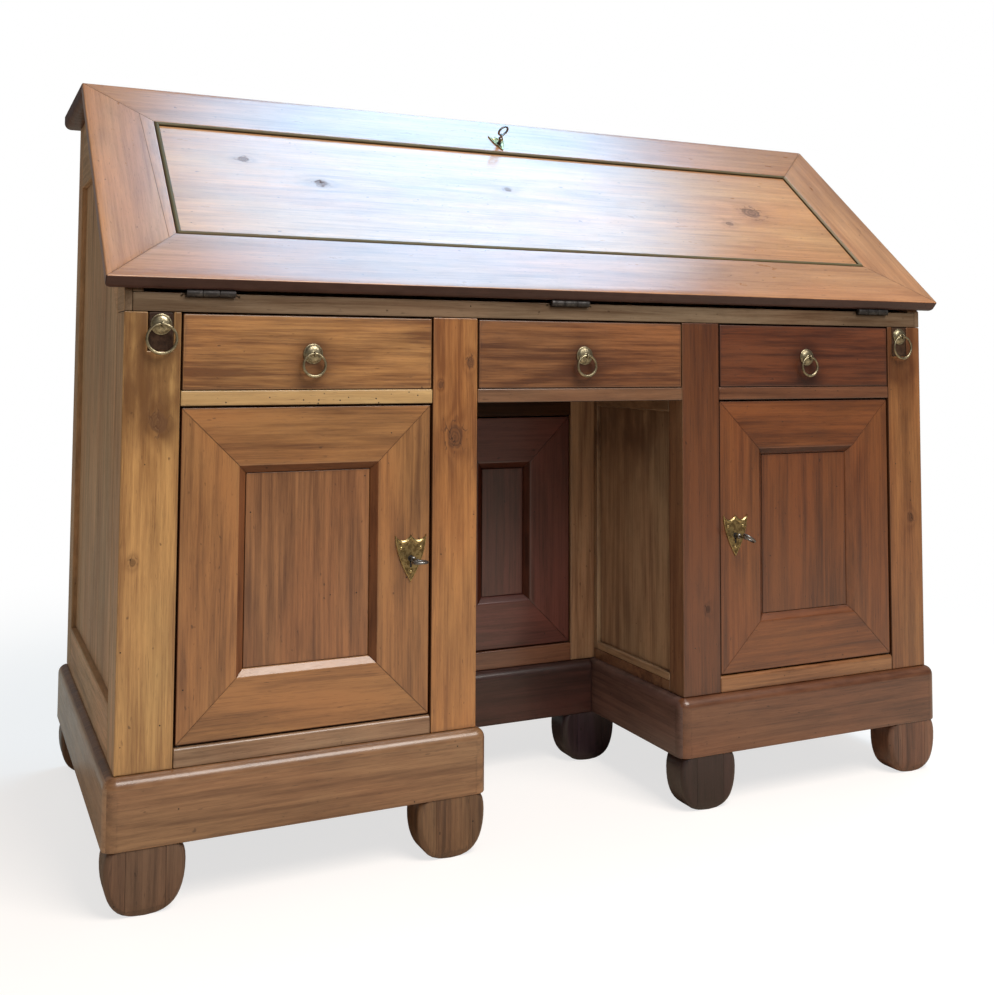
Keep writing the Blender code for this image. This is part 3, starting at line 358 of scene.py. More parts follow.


# How the colour of some pieces differs from their wood's: partly their own colour, mostly painted light and
# shade
# Painted light and shade: pieces on the left are lighter, those on the right and most in the kneehole darker
TINTS = {
    "left_outer_stile": (1.13, 1.24, 1.18),
    "left_inner_stile": (0.91, 0.77, 0.61),
    "right_inner_stile": (0.30, 0.17, 0.12),
    "right_outer_stile": (0.70, 0.565, 0.48),
    # Painted shadow of the lid on the hinge rail
    "hinge_rail": (0.44, 0.58, 0.98),
    "left_drawer": (1.21, 1.34, 1.28),
    "centre_drawer": (0.735, 0.67, 0.66),
    "right_drawer": (0.40, 0.25, 0.23),
    "left_drawer_rail": (1.05, 1.16, 1.20),
    "centre_drawer_rail": (0.44, 0.42, 0.56),
    "right_drawer_rail": (0.38, 0.28, 0.32),
    "left_door": (1.07, 1.02, 0.78),
    "left_door_field": (0.95, 0.84, 0.71),
    # Painted shade on the door bevels that face away from the light, here and below
    "left_door_bevel": (0.56, 0.44, 0.38),
    "right_door": (0.61, 0.40, 0.235),
    "right_door_field": (0.52, 0.32, 0.185),
    "right_door_bevel": (0.34, 0.22, 0.17),
    # Painted shade in the kneehole: its door here, and its plinth, feet and head below
    "kneehole_door": (0.39, 0.22, 0.38),
    "kneehole_door_field": (0.39, 0.22, 0.38),
    "kneehole_door_bevel": (0.26, 0.15, 0.20),
    "right_inner_side": (1.38, 1.95, 2.70),
    "left_inner_side": (1.38, 1.95, 2.70),
    # Painted shade on the posts' sides in the kneehole
    "post_side": (0.85, 0.95, 1.15),
    "cupboard_floor": (0.80, 0.85, 1.00),
    "left_plinth": (0.69, 0.69, 0.84),
    "right_plinth": (0.40, 0.29, 0.32),
    "kneehole_plinth": (0.29, 0.18, 0.28),
    # Painted shade on the plinths' faces in the kneehole
    "plinth_return": (0.80, 0.86, 1.40),
    # Painted sheen on the plinths' outer sides
    "plinth_side": (0.95, 1.05, 1.50),
    "left_bottom_rail": (0.74, 0.86, 1.30),
    "right_bottom_rail": (0.74, 0.61, 0.58),
    "left_outer_foot": (0.76, 0.78, 0.90),
    "left_inner_foot": (1.06, 1.06, 1.00),
    "right_inner_foot": (0.175, 0.135, 0.255),
    "right_outer_foot": (0.97, 0.81, 0.89),
    "right_kneehole_foot": (0.18, 0.16, 0.50),
    "left_kneehole_foot": (0.18, 0.16, 0.50),
    # Painted shade on the top board's front and ends, and a lighter copy on its top
    "top_board": (0.22, 0.17, 0.17),
    "top_face": (0.72, 0.60, 0.54),
    "lid_panel": (1.17, 1.24, 1.16),
    # Painted shade under the lid's front edge
    "lid_edge": (0.17, 0.18, 0.33),
    "kneehole_frame": (1.20, 1.45, 1.80),
    "kneehole_sill": (0.62, 0.52, 0.60),
    # Painted shadow on the kneehole's head under the drawers
    "kneehole_head": (0.14, 0.12, 0.12),
    # Painted highlight on the right bead
    "lid_bead_right": (1.7, 1.7, 2.0),
    "loper": (0.34, 0.36, 0.44),
}

# Pieces with another coat than their wood's
DULLED = {
    "top_board": 0.1,
    "lid_edge": 0.2,
    "hinge_rail": 0.4,
    "kneehole_head": 0.0,
    "loper": 0.1,
    "left_door_bevel": 0.3,
    "right_door_bevel": 0.3,
    "kneehole_door_bevel": 0.3,
}

# How dull the wax and the bare woods are
COAT_ROUGHNESS = 0.20
DULL_SPECULAR = 0.15
# Height that the bump of a material stands for
RELIEF = 0.0006
# A distance in radii at which a knot no longer shows, and how much longer a knot is along the grain
NO_KNOT = 20.0
KNOT_SQUEEZE = 0.75


def surfaced(name, group, inputs, bump):
    """A new material whose colour, roughness and relief come from a node group."""
    made = bpy.data.materials.new(name)
    made.use_nodes = True
    shader = made.node_tree.nodes["Principled BSDF"]
    sheet = Sheet(made.node_tree)
    grown = sheet.node("ShaderNodeGroup", inputs(sheet), node_tree=group).outputs
    relief = {"Strength": bump, "Distance": RELIEF, "Height": grown["Height"]}
    normal = sheet.node("ShaderNodeBump", relief).outputs[0]
    sockets = {"Base Color": grown["Colour"], "Roughness": grown["Roughness"], "Normal": normal}
    if "Coat" in grown:
        sockets["Coat Weight"] = grown["Coat"]
    for socket, value in sockets.items():
        made.node_tree.links.new(value, shader.inputs[socket])
    return made, shader


def reach(s, point, radius, squeeze=(1.0, 1.0, 1.0)):
    """The distance from a point of the desk in radii, less along an axis that is squeezed."""
    gone = s.vector("SUBTRACT", s.place(), point)
    return s.span(s.vector("MULTIPLY", gone, Vector(squeeze) / radius))


def wood(finish, node=None, knots=(), dark_patches=(), axis=None):
    """A wood's material, or a node's own.

    The grain follows each board's attribute, or an axis of the desk if one is given. A knot has a point,
    a radius and the axis that it is long in; a dark patch, which is a stain or a painted shadow, has a point
    and a radius.
    """
    name = f"{node or finish}_waxed"
    found = bpy.data.materials.get(name)
    if found:
        return found
    colours = bpy.context.scene.desk_finish
    tint = TINTS.get(node, (1.0, 1.0, 1.0))
    contrast, grime, holes, rough, coat, bump = WOOD_WAYS[finish]

    def tinted(shade):
        colour = getattr(colours, f"{finish}_{shade}")
        return (*(value * share for value, share in zip(colour, tint)), 1.0)

    def inputs(s):
        given = {
            "Light": tinted("light"),
            "Dark": tinted("dark"),
            "Contrast": contrast,
            "Knot": NO_KNOT,
            "Grime": grime,
            "Worm Holes": holes,
            "Base Roughness": rough,
            "Base Coat": DULLED.get(node, coat),
        }
        if axis is None:
            given["Grain"] = s.node("ShaderNodeAttribute", attribute_name="grain").outputs["Vector"]
            given["Wear"] = s.node("ShaderNodeAttribute", attribute_name="wear").outputs["Fac"]
        else:
            turns = {ALONG_X: (0.0, 0.0, 0.0), ALONG_Y: (0.0, 0.0, -QUARTER), ALONG_Z: (0.0, QUARTER, 0.0)}
            turned_place = {"Vector": s.place(), "Rotation": turns[axis]}
            given["Grain"] = s.node("ShaderNodeMapping", turned_place).outputs[0]
        for *point, radius, along in knots:
            squeeze = [1.0, 1.0, 1.0]
            squeeze[along] = KNOT_SQUEEZE
            given["Knot"] = s.math("MINIMUM", reach(s, point, radius, squeeze), given["Knot"])
        for *point, radius in dark_patches:
            fall = s.math("EXPONENT", s.times(s.math("POWER", reach(s, point, radius), 2.0), -1.0))
            given["Stain"] = s.math("MAXIMUM", fall, given.get("Stain", 0.0))
        return given

    made, shader = surfaced(name, wood_figure(), inputs, bump)
    shader.inputs["Coat Roughness"].default_value = COAT_ROUGHNESS
    if finish in ("bead_wood", "side_wood") or node in DULLED:
        shader.inputs["Specular IOR Level"].default_value = DULL_SPECULAR
    return made


def metal(finish, tarnish):
    """A metal's material; a tarnish above 1 darkens it everywhere."""
    name = f"{finish}_{round(100 * tarnish)}"
    found = bpy.data.materials.get(name)
    if found:
        return found
    colours = bpy.context.scene.desk_finish

    def inputs(s):
        return {
            "Place": s.place(),
            "Bright": (*getattr(colours, f"{finish}_bright"), 1.0),
            "Dull": (*getattr(colours, f"{finish}_dull"), 1.0),
            "Tarnish": tarnish,
        }

    made, shader = surfaced(name, metal_patina(), inputs, 0.35)
    shader.inputs["Metallic"].default_value = 1.0
    return made


def bronze():
    return metal("bronze", 0.90)


# Modelling by hand


def deselect():
    bpy.ops.object.select_all(action="DESELECT")


def activate(piece):
    deselect()
    piece.select_set(True)
    bpy.context.view_layer.objects.active = piece


def open_edit(piece):
    activate(piece)
    bpy.ops.object.mode_set(mode="EDIT")


def close_edit():
    bpy.ops.object.mode_set(mode="OBJECT")


def select_all():
    bpy.ops.mesh.select_all(action="SELECT")


def pick(piece, kind, test):
    """Selects the vertices, edges or faces of the piece in edit mode that pass a test, and counts them."""
    bpy.ops.mesh.select_all(action="DESELECT")
    bpy.context.tool_settings.mesh_select_mode = (kind == "verts", kind == "edges", kind == "faces")
    shape = bmesh.from_edit_mesh(piece.data)
    shape.select_mode = {{"verts": "VERT", "edges": "EDGE", "faces": "FACE"}[kind]}
    shape.normal_update()
    chosen = [item for item in getattr(shape, kind) if test(item)]
    for item in chosen:
        item.select_set(True)
    shape.select_flush_mode()
    bmesh.update_edit_mesh(piece.data)
    return len(chosen)


def saw(at, away):
    """Cuts off what lies past a plane, the way that its normal points."""
    select_all()
    bpy.ops.mesh.bisect(plane_co=at, plane_no=Vector(away).normalized(), use_fill=True, clear_outer=True)


def score(at, across):
    """Cuts a loop of edges where a plane meets the piece."""
    select_all()
    bpy.ops.mesh.bisect(plane_co=at, plane_no=across)


def extrude(travel):
    bpy.ops.mesh.extrude_region_move(TRANSFORM_OT_translate={"value": travel})


def merge_flat():
    """Joins the faces that lie in one plane."""
    select_all()
    bpy.ops.mesh.dissolve_limited(angle_limit=0.01)


def face_outwards():
    select_all()
    bpy.ops.mesh.normals_make_consistent(inside=False)


def round_off(radius, steps):
    bpy.ops.mesh.bevel(offset=radius, segments=steps, profile=0.5, affect="EDGES", clamp_overlap=False)


def named(piece, name):
    piece.name = name
    piece.data.name = name
    return piece


def settle():
    """Puts the active piece's place, turn and scale in its mesh."""
    bpy.ops.object.transform_apply(location=True, rotation=True, scale=True)


def add_cube(name, low, high):
    """A cube primitive at its size and place."""
    deselect()
    low, high = Vector(low), Vector(high)
    bpy.ops.mesh.primitive_cube_add(size=1.0, location=(low + high) / 2, scale=high - low)
    settle()
    return named(bpy.context.object, name)


def start_board(name, low, high):
    """A cube that is left in edit mode."""
    piece = add_cube(name, low, high)
    open_edit(piece)
    return piece


def add_cylinder(name, radius, base, top, steps):
    deselect()
    middle = (0, 0, (base + top) / 2)
    bpy.ops.mesh.primitive_cylinder_add(
        vertices=steps, radius=radius, depth=top - base, end_fill_type="NGON", location=middle
    )
    settle()
    return named(bpy.context.object, name)


def add_torus(name, radius, wire, location, rotation, steps):
    deselect()
    bpy.ops.mesh.primitive_torus_add(
        major_radius=radius, minor_radius=wire, major_segments=steps, minor_segments=12,
        location=location, rotation=rotation,
    )
    settle()
    return named(bpy.context.object, name)


def place(piece, matrix):
    """Moves a piece that was modelled in its own frame to its place."""
    activate(piece)
    piece.matrix_world = matrix
    settle()
    return piece


def smooth(piece, degrees=50.0):
    activate(piece)
    bpy.ops.object.shade_smooth_by_angle(angle=math.radians(degrees))
    return piece


def soften(piece, radius, steps):
    """Rounds all the edges of a piece."""
    open_edit(piece)
    pick(piece, "edges", lambda edge: True)
    round_off(radius, steps)
    close_edit()
    return piece


def join(pieces, name):
    activate(pieces[0])
    for piece in pieces:
        piece.select_set(True)
    bpy.ops.object.join()
    return named(bpy.context.object, name)


def cut_away(piece, cutter):
    """Cuts one closed piece out of another and removes the cutter."""
    activate(piece)
    modifier = piece.modifiers.new("cut", "BOOLEAN")
    modifier.operation = "DIFFERENCE"
    modifier.solver = "EXACT"
    modifier.object = cutter
    bpy.ops.object.modifier_apply(modifier=modifier.name)
    bpy.data.objects.remove(cutter)


def dress(piece, material, body, node):
    """Gives a finished piece its material, the body that it rides on and the node that it stands for."""
    piece.data.materials.clear()
    piece.data.materials.append(material)
    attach(piece, body)
    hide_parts(node)
    return piece


def paint_faces(piece, material, test):
    """Gives the faces of a dressed piece that pass a test another material."""
    index = len(piece.data.materials)
    piece.data.materials.append(material)
    for face in piece.data.polygons:
        if test(face):
            face.material_index = index


def on_plane(point, planes):
    return any(abs((point - Vector(at)).dot(Vector(away).normalized())) < TOUCH for at, away in planes)


def in_a_plane(edge, planes):
    """Whether an edge lies in one of the planes."""
    return any(all(on_plane(corner.co, (plane,)) for corner in edge.verts) for plane in planes)


def top_front(low, high):
    """A test for the edge where the front and the top of a board meet."""
    return lambda edge: all(v.co.y < low.y + TOUCH and v.co.z > high.z - TOUCH for v in edge.verts)


def round_and_inset(piece, edge, mitres=(), margin=None):
    """Rounds a board's edges, except in its mitres, and insets its wide faces for the worn strip."""

    def sharp(item):
        return item.calc_face_angle(0.0) > SHARP and not in_a_plane(item, mitres)

    if pick(piece, "edges", sharp):
        round_off(edge, 2)
        select_all()
        bpy.ops.mesh.remove_doubles(threshold=TOUCH)
    inset_wide_faces(piece, margin or bpy.context.scene.desk_shape.worn_margin)


def inset_wide_faces(piece, margin):
    """Insets the faces that have room for it, and leaves their inner parts selected."""

    def wide(face):
        longest = max(side.calc_length() for side in face.edges)
        return face.calc_area() > 2.4 * margin * longest

    if pick(piece, "faces", wide):
        bpy.ops.mesh.inset(thickness=margin, use_individual=True, use_even_offset=True)


def crisp(piece):
    """Keeps the wide faces flat where they meet rounded edges."""
    modifier = piece.modifiers.new("crisp", "WEIGHTED_NORMAL")
    modifier.keep_sharp = True
    modifier.weight = 90
    bpy.ops.object.modifier_apply(modifier=modifier.name)
    return piece


# Values at a board's corners: unworn inset faces, worn edges, and painted shade on the faces in a gap
NO_WEAR, EDGE_WEAR, GAP_SHADE = 0.0, 1.0, 2.0
# How the start of a board's grain follows from its name
START_STEPS = (0.731, 1.377, 2.113)
START_SPAN = 9.0


def finish_board(piece, along, returns=None, gap=None):
    """Leaves edit mode and writes the board's edge marks, painted gap shade and grain.

    The faces that gap picks stand in a gap and get painted shade. The grain says where each corner lies
    along, across and through it, from a start of the board's own; the faces that returns picks have theirs
    along the next axis.
    """
    close_edit()
    mesh = piece.data
    wear = [EDGE_WEAR] * len(mesh.vertices)
    in_gap = [face for face in mesh.polygons if gap and gap(face.normal)]
    inset = [face for face in mesh.polygons if face.select]
    for faces, value in ((inset, NO_WEAR), (in_gap, GAP_SHADE)):
        for face in faces:
            for corner in face.vertices:
                wear[corner] = value
    mesh.attributes.new("wear", "FLOAT", "POINT").data.foreach_set("value", wear)
    seed = sum((index + 7) * ord(letter) for index, letter in enumerate(piece.name))
    start = Vector([seed * step % START_SPAN for step in START_STEPS])
    across, through = [axis for axis in range(3) if axis != along]
    grain = []
    for face in mesh.polygons:
        turned_back = returns and returns(face)
        order = (across, along, through) if turned_back else (along, across, through)
        for corner in face.vertices:
            point = mesh.vertices[corner].co
            grain.extend(start + Vector([point[axis] for axis in order]))
    mesh.attributes.new("grain", "FLOAT_VECTOR", "CORNER").data.foreach_set("vector", grain)
    return crisp(smooth(piece))


def board(name, low, high, along, mitres=(), cuts=(), edge=None, margin=None, gap=None):
    """A sawn and worn board between two corners, cut back by planes that point to the waste; faces that gap
    picks get painted shade.
    """
    piece = start_board(name, low, high)
    for at, away in (*mitres, *cuts):
        saw(at, away)
    round_and_inset(piece, edge or bpy.context.scene.desk_shape.edge_round, mitres, margin)
    return finish_board(piece, along, gap=gap)


def turned(name, profile, steps):
    """A round piece on the z axis, drawn up from a short cylinder through (radius, height) pairs."""
    (radius, base), (_, height) = profile[:2]
    piece = add_cylinder(name, radius, base, height, steps)
    open_edit(piece)
    pick(piece, "faces", lambda face: face.normal.z > 0.9)
    for index, (wider, higher) in enumerate(profile[1:]):
        if index:
            extrude((0, 0, higher - height))
        share = wider / radius
        bpy.ops.transform.resize(value=(share, share, 1.0), center_override=(0, 0, higher))
        radius, height = wider, higher
    face_outwards()
    close_edit()
    return smooth(piece)


def towards(point, direction):
    """The place of a piece that was turned on the z axis, with z turned to a direction."""
    return Matrix.Translation(point) @ Vector(direction).to_track_quat("Z", "Y").to_matrix().to_4x4()


def mitre(corner, away, gap):
    """A mitre's plane through a corner, held back by half of the joint's gap."""
    away = Vector(away).normalized()
    return Vector(corner) - away * gap, away


class DeskPiece:
    """What the desk's operators share."""

    bl_options = {"REGISTER", "UNDO"}


class DESK_OT_lid(DeskPiece, bpy.types.Operator):
    """Mitred frame of the lid, its sunk panel and the bead round it"""

    bl_idname = "desk.lid"
    bl_label = "Lid"

    PANEL_THICKNESS = 0.014
    BEAD_HEIGHT = 0.0044
    BEAD_GAP = 0.0006
    # The strip let in beside the panel's left edge: its width at the foot, and how its joint slants
    STRIP_WIDTH = 0.011
    STRIP_SLANT = 0.028
    # Place across and up the lid, and radius, of the knots in the panel
    KNOTS = (
        (-0.47, 0.30, 0.006), (-0.36, 0.25, 0.007), (-0.04, 0.27, 0.005),
        (0.44, 0.25, 0.013), (0.37, 0.21, 0.005),
    )

    def execute(self, context):
        sizes = context.scene.desk_shape
        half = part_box("lid_frame")[1].x
        width = sizes.lid_member
        self.frame_members(half, sizes)
        inner, low, high = half - width, width, sizes.lid_length - width
        level = sizes.lid_thickness - sizes.lid_sink - SLACK
        lap = sizes.lid_lap - SLACK
        panel = board(
            "lid_field",
            (-inner - lap, low - lap, level - self.PANEL_THICKNESS),
            (inner + lap, high + lap, level),
            ALONG_X, edge=0.001, margin=lap + sizes.worn_margin,
        )
        place(panel, LID_PLACE)
        knots = [(*(LID_PLACE @ Vector((x, up, level))), radius, ALONG_X) for x, up, radius in self.KNOTS]
        dress(panel, wood("lid_wood", "lid_panel", knots), "lid", "lid_panel")
        gap = self.BEAD_GAP
        self.beads(inner - gap, (low + gap, high - gap), sizes.lid_bead, (level, level + self.BEAD_HEIGHT))
        return {"FINISHED"}

    def mitred(self, half, ends, width):
        """Name, grain, inner edge and mitres of each of the four boards round an opening in the lid."""
        gap = bpy.context.scene.desk_shape.joint_gap
        low, high = ends
        for name, level, way in (("lower", low, 1), ("upper", high, -1)):
            mitres = [mitre((side * half, level, 0.0), (side, way, 0.0), gap) for side in (-1, 1)]
            yield name, ALONG_X, ((0.0, level + way * width, 0.0), (0.0, way, 0.0)), mitres
        for name, side in SIDES:
            corners = ((low, -1), (high, 1))
            mitres = [mitre((side * half, level, 0.0), (-side, way, 0.0), gap) for level, way in corners]
            yield name, ALONG_Y, ((side * (half - width), 0.0, 0.0), (-side, 0.0, 0.0)), mitres

    def frame_members(self, half, sizes):
        """The frame's boards; the left one has a strip let in beside the panel."""
        inside = half - sizes.lid_member
        joint = Vector((-inside - self.STRIP_WIDTH, sizes.lid_member, 0.0))
        slant = Vector((1.0, self.STRIP_SLANT, 0.0))
        gap = slant.normalized() * sizes.joint_gap
        for name, along, inner, mitres in self.mitred(half, (0.0, sizes.lid_length), sizes.lid_member):
            cuts = {f"lid_{name}": ()}
            if name == "left":
                cuts = {"lid_left": ((joint - gap, slant),), "lid_left_strip": ((joint + gap, -slant),)}
            for tag, extra in cuts.items():
                self.member(tag, half, along, inner, (*mitres, *extra), sizes)

    def member(self, name, half, along, inner, cuts, sizes):
        """A board cut from a slab of the whole lid that is rounded under its ends."""

        def under_an_end(edge):
            return all(abs(v.co.x) > half - TOUCH and v.co.z < TOUCH for v in edge.verts)

        def inner_arris(edge):
            return all(on_plane(v.co, (inner,)) and v.co.z > 0.005 for v in edge.verts)

        piece = start_board(name, (-half, 0.0, 0.0), (half, sizes.lid_length, sizes.lid_thickness))
        pick(piece, "edges", under_an_end)
        round_off(sizes.end_round, 6)
        pick(piece, "edges", lambda edge: edge.calc_face_angle(0.0) > SHARP)
        round_off(0.0022, 2)
        for at, away in (inner, *cuts):
            saw(at, away)
        pick(piece, "edges", inner_arris)
        round_off(0.0012, 2)
        inset_wide_faces(piece, sizes.worn_margin)
        finish_board(piece, along)
        place(piece, LID_PLACE)
        dress(piece, wood("lid_wood"), "lid", "lid_frame")
        # Painted shade on the faces under the lid's front, which look down and forward
        shaded_edge_wood = wood("lid_wood", "lid_edge")
        paint_faces(piece, shaded_edge_wood, lambda face: face.normal.y < -0.1 and face.normal.z < 0.1)

    def beads(self, half, ends, width, depth):
        """Thin mitred strips with a rounded top, laid on the panel along its edge."""
        for name, along, inner, mitres in self.mitred(half, ends, width):
            piece = start_board(f"lid_bead_{name}", (-half, ends[0], depth[0]), (half, ends[1], depth[1]))
            for at, away in (*mitres, inner):
                saw(at, away)

            def along_top(edge):
                return all(v.co.z > depth[1] - TOUCH for v in edge.verts) and not in_a_plane(edge, mitres)

            pick(piece, "edges", along_top)
            round_off(min(0.42 * width, 0.8 * (depth[1] - depth[0])), 5)
            pick(piece, "faces", lambda face: face.normal.z > 0.45)
            # Painted shade on the bead's sides, which stand in a gap
            finish_board(piece, along, gap=lambda way: max(abs(way.x), abs(way.y)) > 0.95)
            place(piece, LID_PLACE)
            # The right bead's wood is lightened as a painted highlight
            dress(piece, wood("bead_wood", piece.name), "lid", "lid_panel")


class DESK_OT_top_board(DeskPiece, bpy.types.Operator):
    """Top board behind the lid"""

    bl_idname = "desk.top_board"
    bl_label = "Top board"

    def execute(self, context):
        low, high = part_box("top_board")
        piece = start_board("top_plank", low, high)
        saw((0.0, low.y, high.z), (0.0, -math.cos(LID_SLOPE), -math.sin(LID_SLOPE)))

        def under_an_end(edge):
            a, b = (corner.co for corner in edge.verts)
            return abs(a.x - b.x) < TOUCH and max(a.z, b.z) < low.z + TOUCH

        pick(piece, "edges", under_an_end)
        round_off(context.scene.desk_shape.end_round, 6)
        round_and_inset(piece, 0.0020)
        finish_board(piece, ALONG_X)
        dress(piece, wood("lid_wood", "top_board"), "case", "top_board")
        # The top takes a lighter copy of the wood than the front and ends, which are darkened as painted
        # shade
        paint_faces(piece, wood("lid_wood", "top_face"), lambda face: face.normal.z > 0.5)
        return {"FINISHED"}


class DESK_OT_sides(DeskPiece, bpy.types.Operator):
    """Framed and panelled sides of the case"""

    bl_idname = "desk.sides"
    bl_label = "Sides"

    # Widths of the frame's boards: at the rear, the bottom, the top, under the lid and beside the front stile
    REAR_STILE, BOTTOM_RAIL, TOP_RAIL = 0.055, 0.070, 0.110
    SLOPE_RAIL = 0.0700
    FRONT_BEAD = 0.004
    UNDER_LID = 0.0004

    def execute(self, context):
        for name, sign in SIDES:
            self.side(name, sign, context.scene.desk_shape)
        return {"FINISHED"}

    def side(self, name, sign, sizes):
        low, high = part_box(f"{name}_side")
        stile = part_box(f"{name}_outer_stile")[1]
        shown, hidden = (high.x, low.x) if sign > 0 else (low.x, high.x)
        lip = shown - sign * sizes.side_lip
        sunk = shown - sign * sizes.side_sink
        front, rear = stile.y + SLACK, high.y - self.REAR_STILE
        foot, head = low.z + self.BOTTOM_RAIL, high.z - self.TOP_RAIL
        slope = LID_NORMAL.normalized()
        under_lid = (LID_PIN - slope * self.UNDER_LID, slope)
        below_band = (LID_PIN - slope * (self.SLOPE_RAIL + SLACK), slope)
        above_band = (LID_PIN - slope * self.SLOPE_RAIL, -slope)
        field_front = front + self.FRONT_BEAD
        whole, middle, nose = (shown, hidden), (front, rear), (FRONT, front)
        boards = {
            "rear_stile": (whole, (rear, high.y), (low.z, high.z), ALONG_Z, ()),
            "bottom_rail": (whole, middle, (low.z, foot), ALONG_Y, ()),
            "top_rail": (whole, middle, (head, high.z), ALONG_Y, (below_band,)),
            "slope_rail": (whole, middle, (foot, high.z), ALONG_Y, (under_lid, above_band)),
            "slope_nose": ((shown, lip), nose, (stile.z + SLACK, high.z), ALONG_Y, (under_lid,)),
            "slope_cheek": ((lip, hidden), nose, (LID_PIN.z + SLACK, high.z), ALONG_Y, (under_lid,)),
            "front_bead": (whole, (front, field_front), (foot, head), ALONG_Z, (below_band,)),
            "panel": ((sunk, hidden), (field_front, rear), (foot, head), ALONG_Z, (below_band,)),
        }
        for tag, (x, y, z, along, cuts) in boards.items():
            start, end = zip(sorted(x), y, z)
            piece = board(f"{name}_side_{tag}", start, end, along, cuts=cuts)
            dress(piece, wood("side_wood"), "case", f"{name}_side")
            if y == nose:
                # The faces under the lid's front take the hinge rail's darker wood: painted shadow of the lid
                paint_faces(piece, wood("honey_wood", "hinge_rail"), lambda face: face.normal.x * sign < 0.9)


class DESK_OT_front_frame(DeskPiece, bpy.types.Operator):
    """Stiles and rails of the front"""

    bl_idname = "desk.front_frame"
    bl_label = "Front frame"

    # x, z and radius of the knots in the stiles
    KNOTS = {
        "left_inner_stile": ((-0.210, 0.577, 0.0110), (-0.186, 0.682, 0.0050), (-0.232, 0.650, 0.0030)),
        "left_outer_stile": ((-0.620, 0.604, 0.0090), (-0.648, 0.430, 0.0035)),
        "right_inner_stile": ((0.220, 0.300, 0.0040),),
        "right_outer_stile": ((0.640, 0.420, 0.0050),),
    }
    # x, z and radius of the soiled places on the left outer stile
    STAINS = (
        (-0.620, 0.604, 0.026), (-0.660, 0.700, 0.018), (-0.655, 0.655, 0.014),
        (-0.632, 0.700, 0.070), (-0.630, 0.640, 0.050),
    )
    # Depth of an inner stile's front part
    POST_DEPTH = 0.040
    # Depth of a hinge's seat behind the leaf's rear edge, and of the cuts for it into the rail
    HINGE_SEAT = 0.026
    HINGE_NICK = 0.0026

    def execute(self, context):
        for name, sign in SIDES:
            self.inner_stile(name, sign)
            self.outer_stile(name, sign)
            self.bottom_rail(name)
        for name in ("left", "centre", "right"):
            node = f"{name}_drawer_rail"
            low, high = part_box(node)
            # Painted shade on the rail's underside, which stands in a gap
            piece = board(f"{name}_divider", low, high, ALONG_X, margin=0.004, gap=lambda way: way.z < -0.5)
            dress(piece, wood("rail_wood" if name == "left" else "honey_wood", node), "case", node)
        self.hinge_rail()
        return {"FINISHED"}

    def bottom_rail(self, name):
        """A rail whose top edge is rubbed round by the door above it."""
        node = f"{name}_bottom_rail"
        low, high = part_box(node)
        piece = start_board(f"{name}_lower_rail", low, high)
        pick(piece, "edges", top_front(low, high))
        round_off(0.0045, 4)
        round_and_inset(piece, bpy.context.scene.desk_shape.edge_round, margin=0.005)
        finish_board(piece, ALONG_X)
        dress(piece, wood("honey_wood", node), "case", node)

    def inner_stile(self, name, sign):
        """A stile whose rear part stands back for the panel of the kneehole's wall."""
        node = f"{name}_inner_stile"
        low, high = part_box(node)
        cut = low.y + self.POST_DEPTH
        end = (high.x, cut, high.z)
        # Painted shade on the side that faces the door across a gap
        post = board(f"{name}_inner_post", low, end, ALONG_Z, gap=lambda way: way.x * sign > 0.5)
        dress(post, self.stile_wood(node), "case", node)
        # The sides that face into the kneehole take a darker wood as painted shade
        paint_faces(post, wood("door_wood", "post_side"), lambda face: face.normal.x * sign < -0.9)
        wall_low, wall_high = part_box(f"{name}_inner_side")
        if sign > 0:
            low.x = wall_high.x
        else:
            high.x = wall_low.x
        rest = board(f"{name}_inner_post_rear", (low.x, cut + TOUCH, low.z), high, ALONG_Z)
        dress(rest, wood("honey_wood", node), "case", node)
        start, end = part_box(node)
        foot_start, foot_end = (wall_low.x, cut + TOUCH, start.z), (wall_high.x, end.y, wall_low.z)
        below = board(f"{name}_inner_post_foot", foot_start, foot_end, ALONG_Z)
        # The part under the post takes the same painted shade
        dress(below, wood("door_wood", "post_side"), "case", node)

    def stile_wood(self, node):
        knots = [(x, FRONT, z, radius, ALONG_Z) for x, z, radius in self.KNOTS[node]]
        dark_patches = []
        if "outer" in node:
            x, y, z = JOINTS[node.replace("outer_stile", "loper_ring_swing")]["pos_m"]
            dark_patches = [(x, y, z, 0.045), (x, y, z - 0.05, 0.040)]
        if node == "left_outer_stile":
            dark_patches += [(x, FRONT, z, radius) for x, z, radius in self.STAINS]
        return wood("honey_wood", node, knots, dark_patches)

    def outer_stile(self, name, sign):
        """A stile whose top end is forked round the loper."""
        node = f"{name}_outer_stile"
        low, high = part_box(node)
        loper_low, loper_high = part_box(f"{name}_loper")
        slot = loper_low.x - 0.0005, loper_high.x + 0.0005
        crotch = loper_low.z - SLACK
        piece = start_board(f"{name}_outer_post", low, (high.x, high.y, crotch))
        for x in slot:
            score((x, 0, 0), (1, 0, 0))

        def beside_slot(face):
            x = face.calc_center_median().x
            return face.normal.z > 0.5 and not slot[0] < x < slot[1]

        pick(piece, "faces", beside_slot)
        extrude((0, 0, high.z - crotch))
        merge_flat()
        round_and_inset(piece, bpy.context.scene.desk_shape.edge_round, margin=0.0030)
        # Painted shade on the side that faces the drawers and doors across a gap
        finish_board(piece, ALONG_Z, gap=lambda way: way.x * sign < -0.5)
        dress(piece, self.stile_wood(node), "case", node)
        # The outer side takes the sides' wood, greyed as a painted sheen
        paint_faces(piece, wood("side_wood"), lambda face: face.normal.x * sign > 0.9)

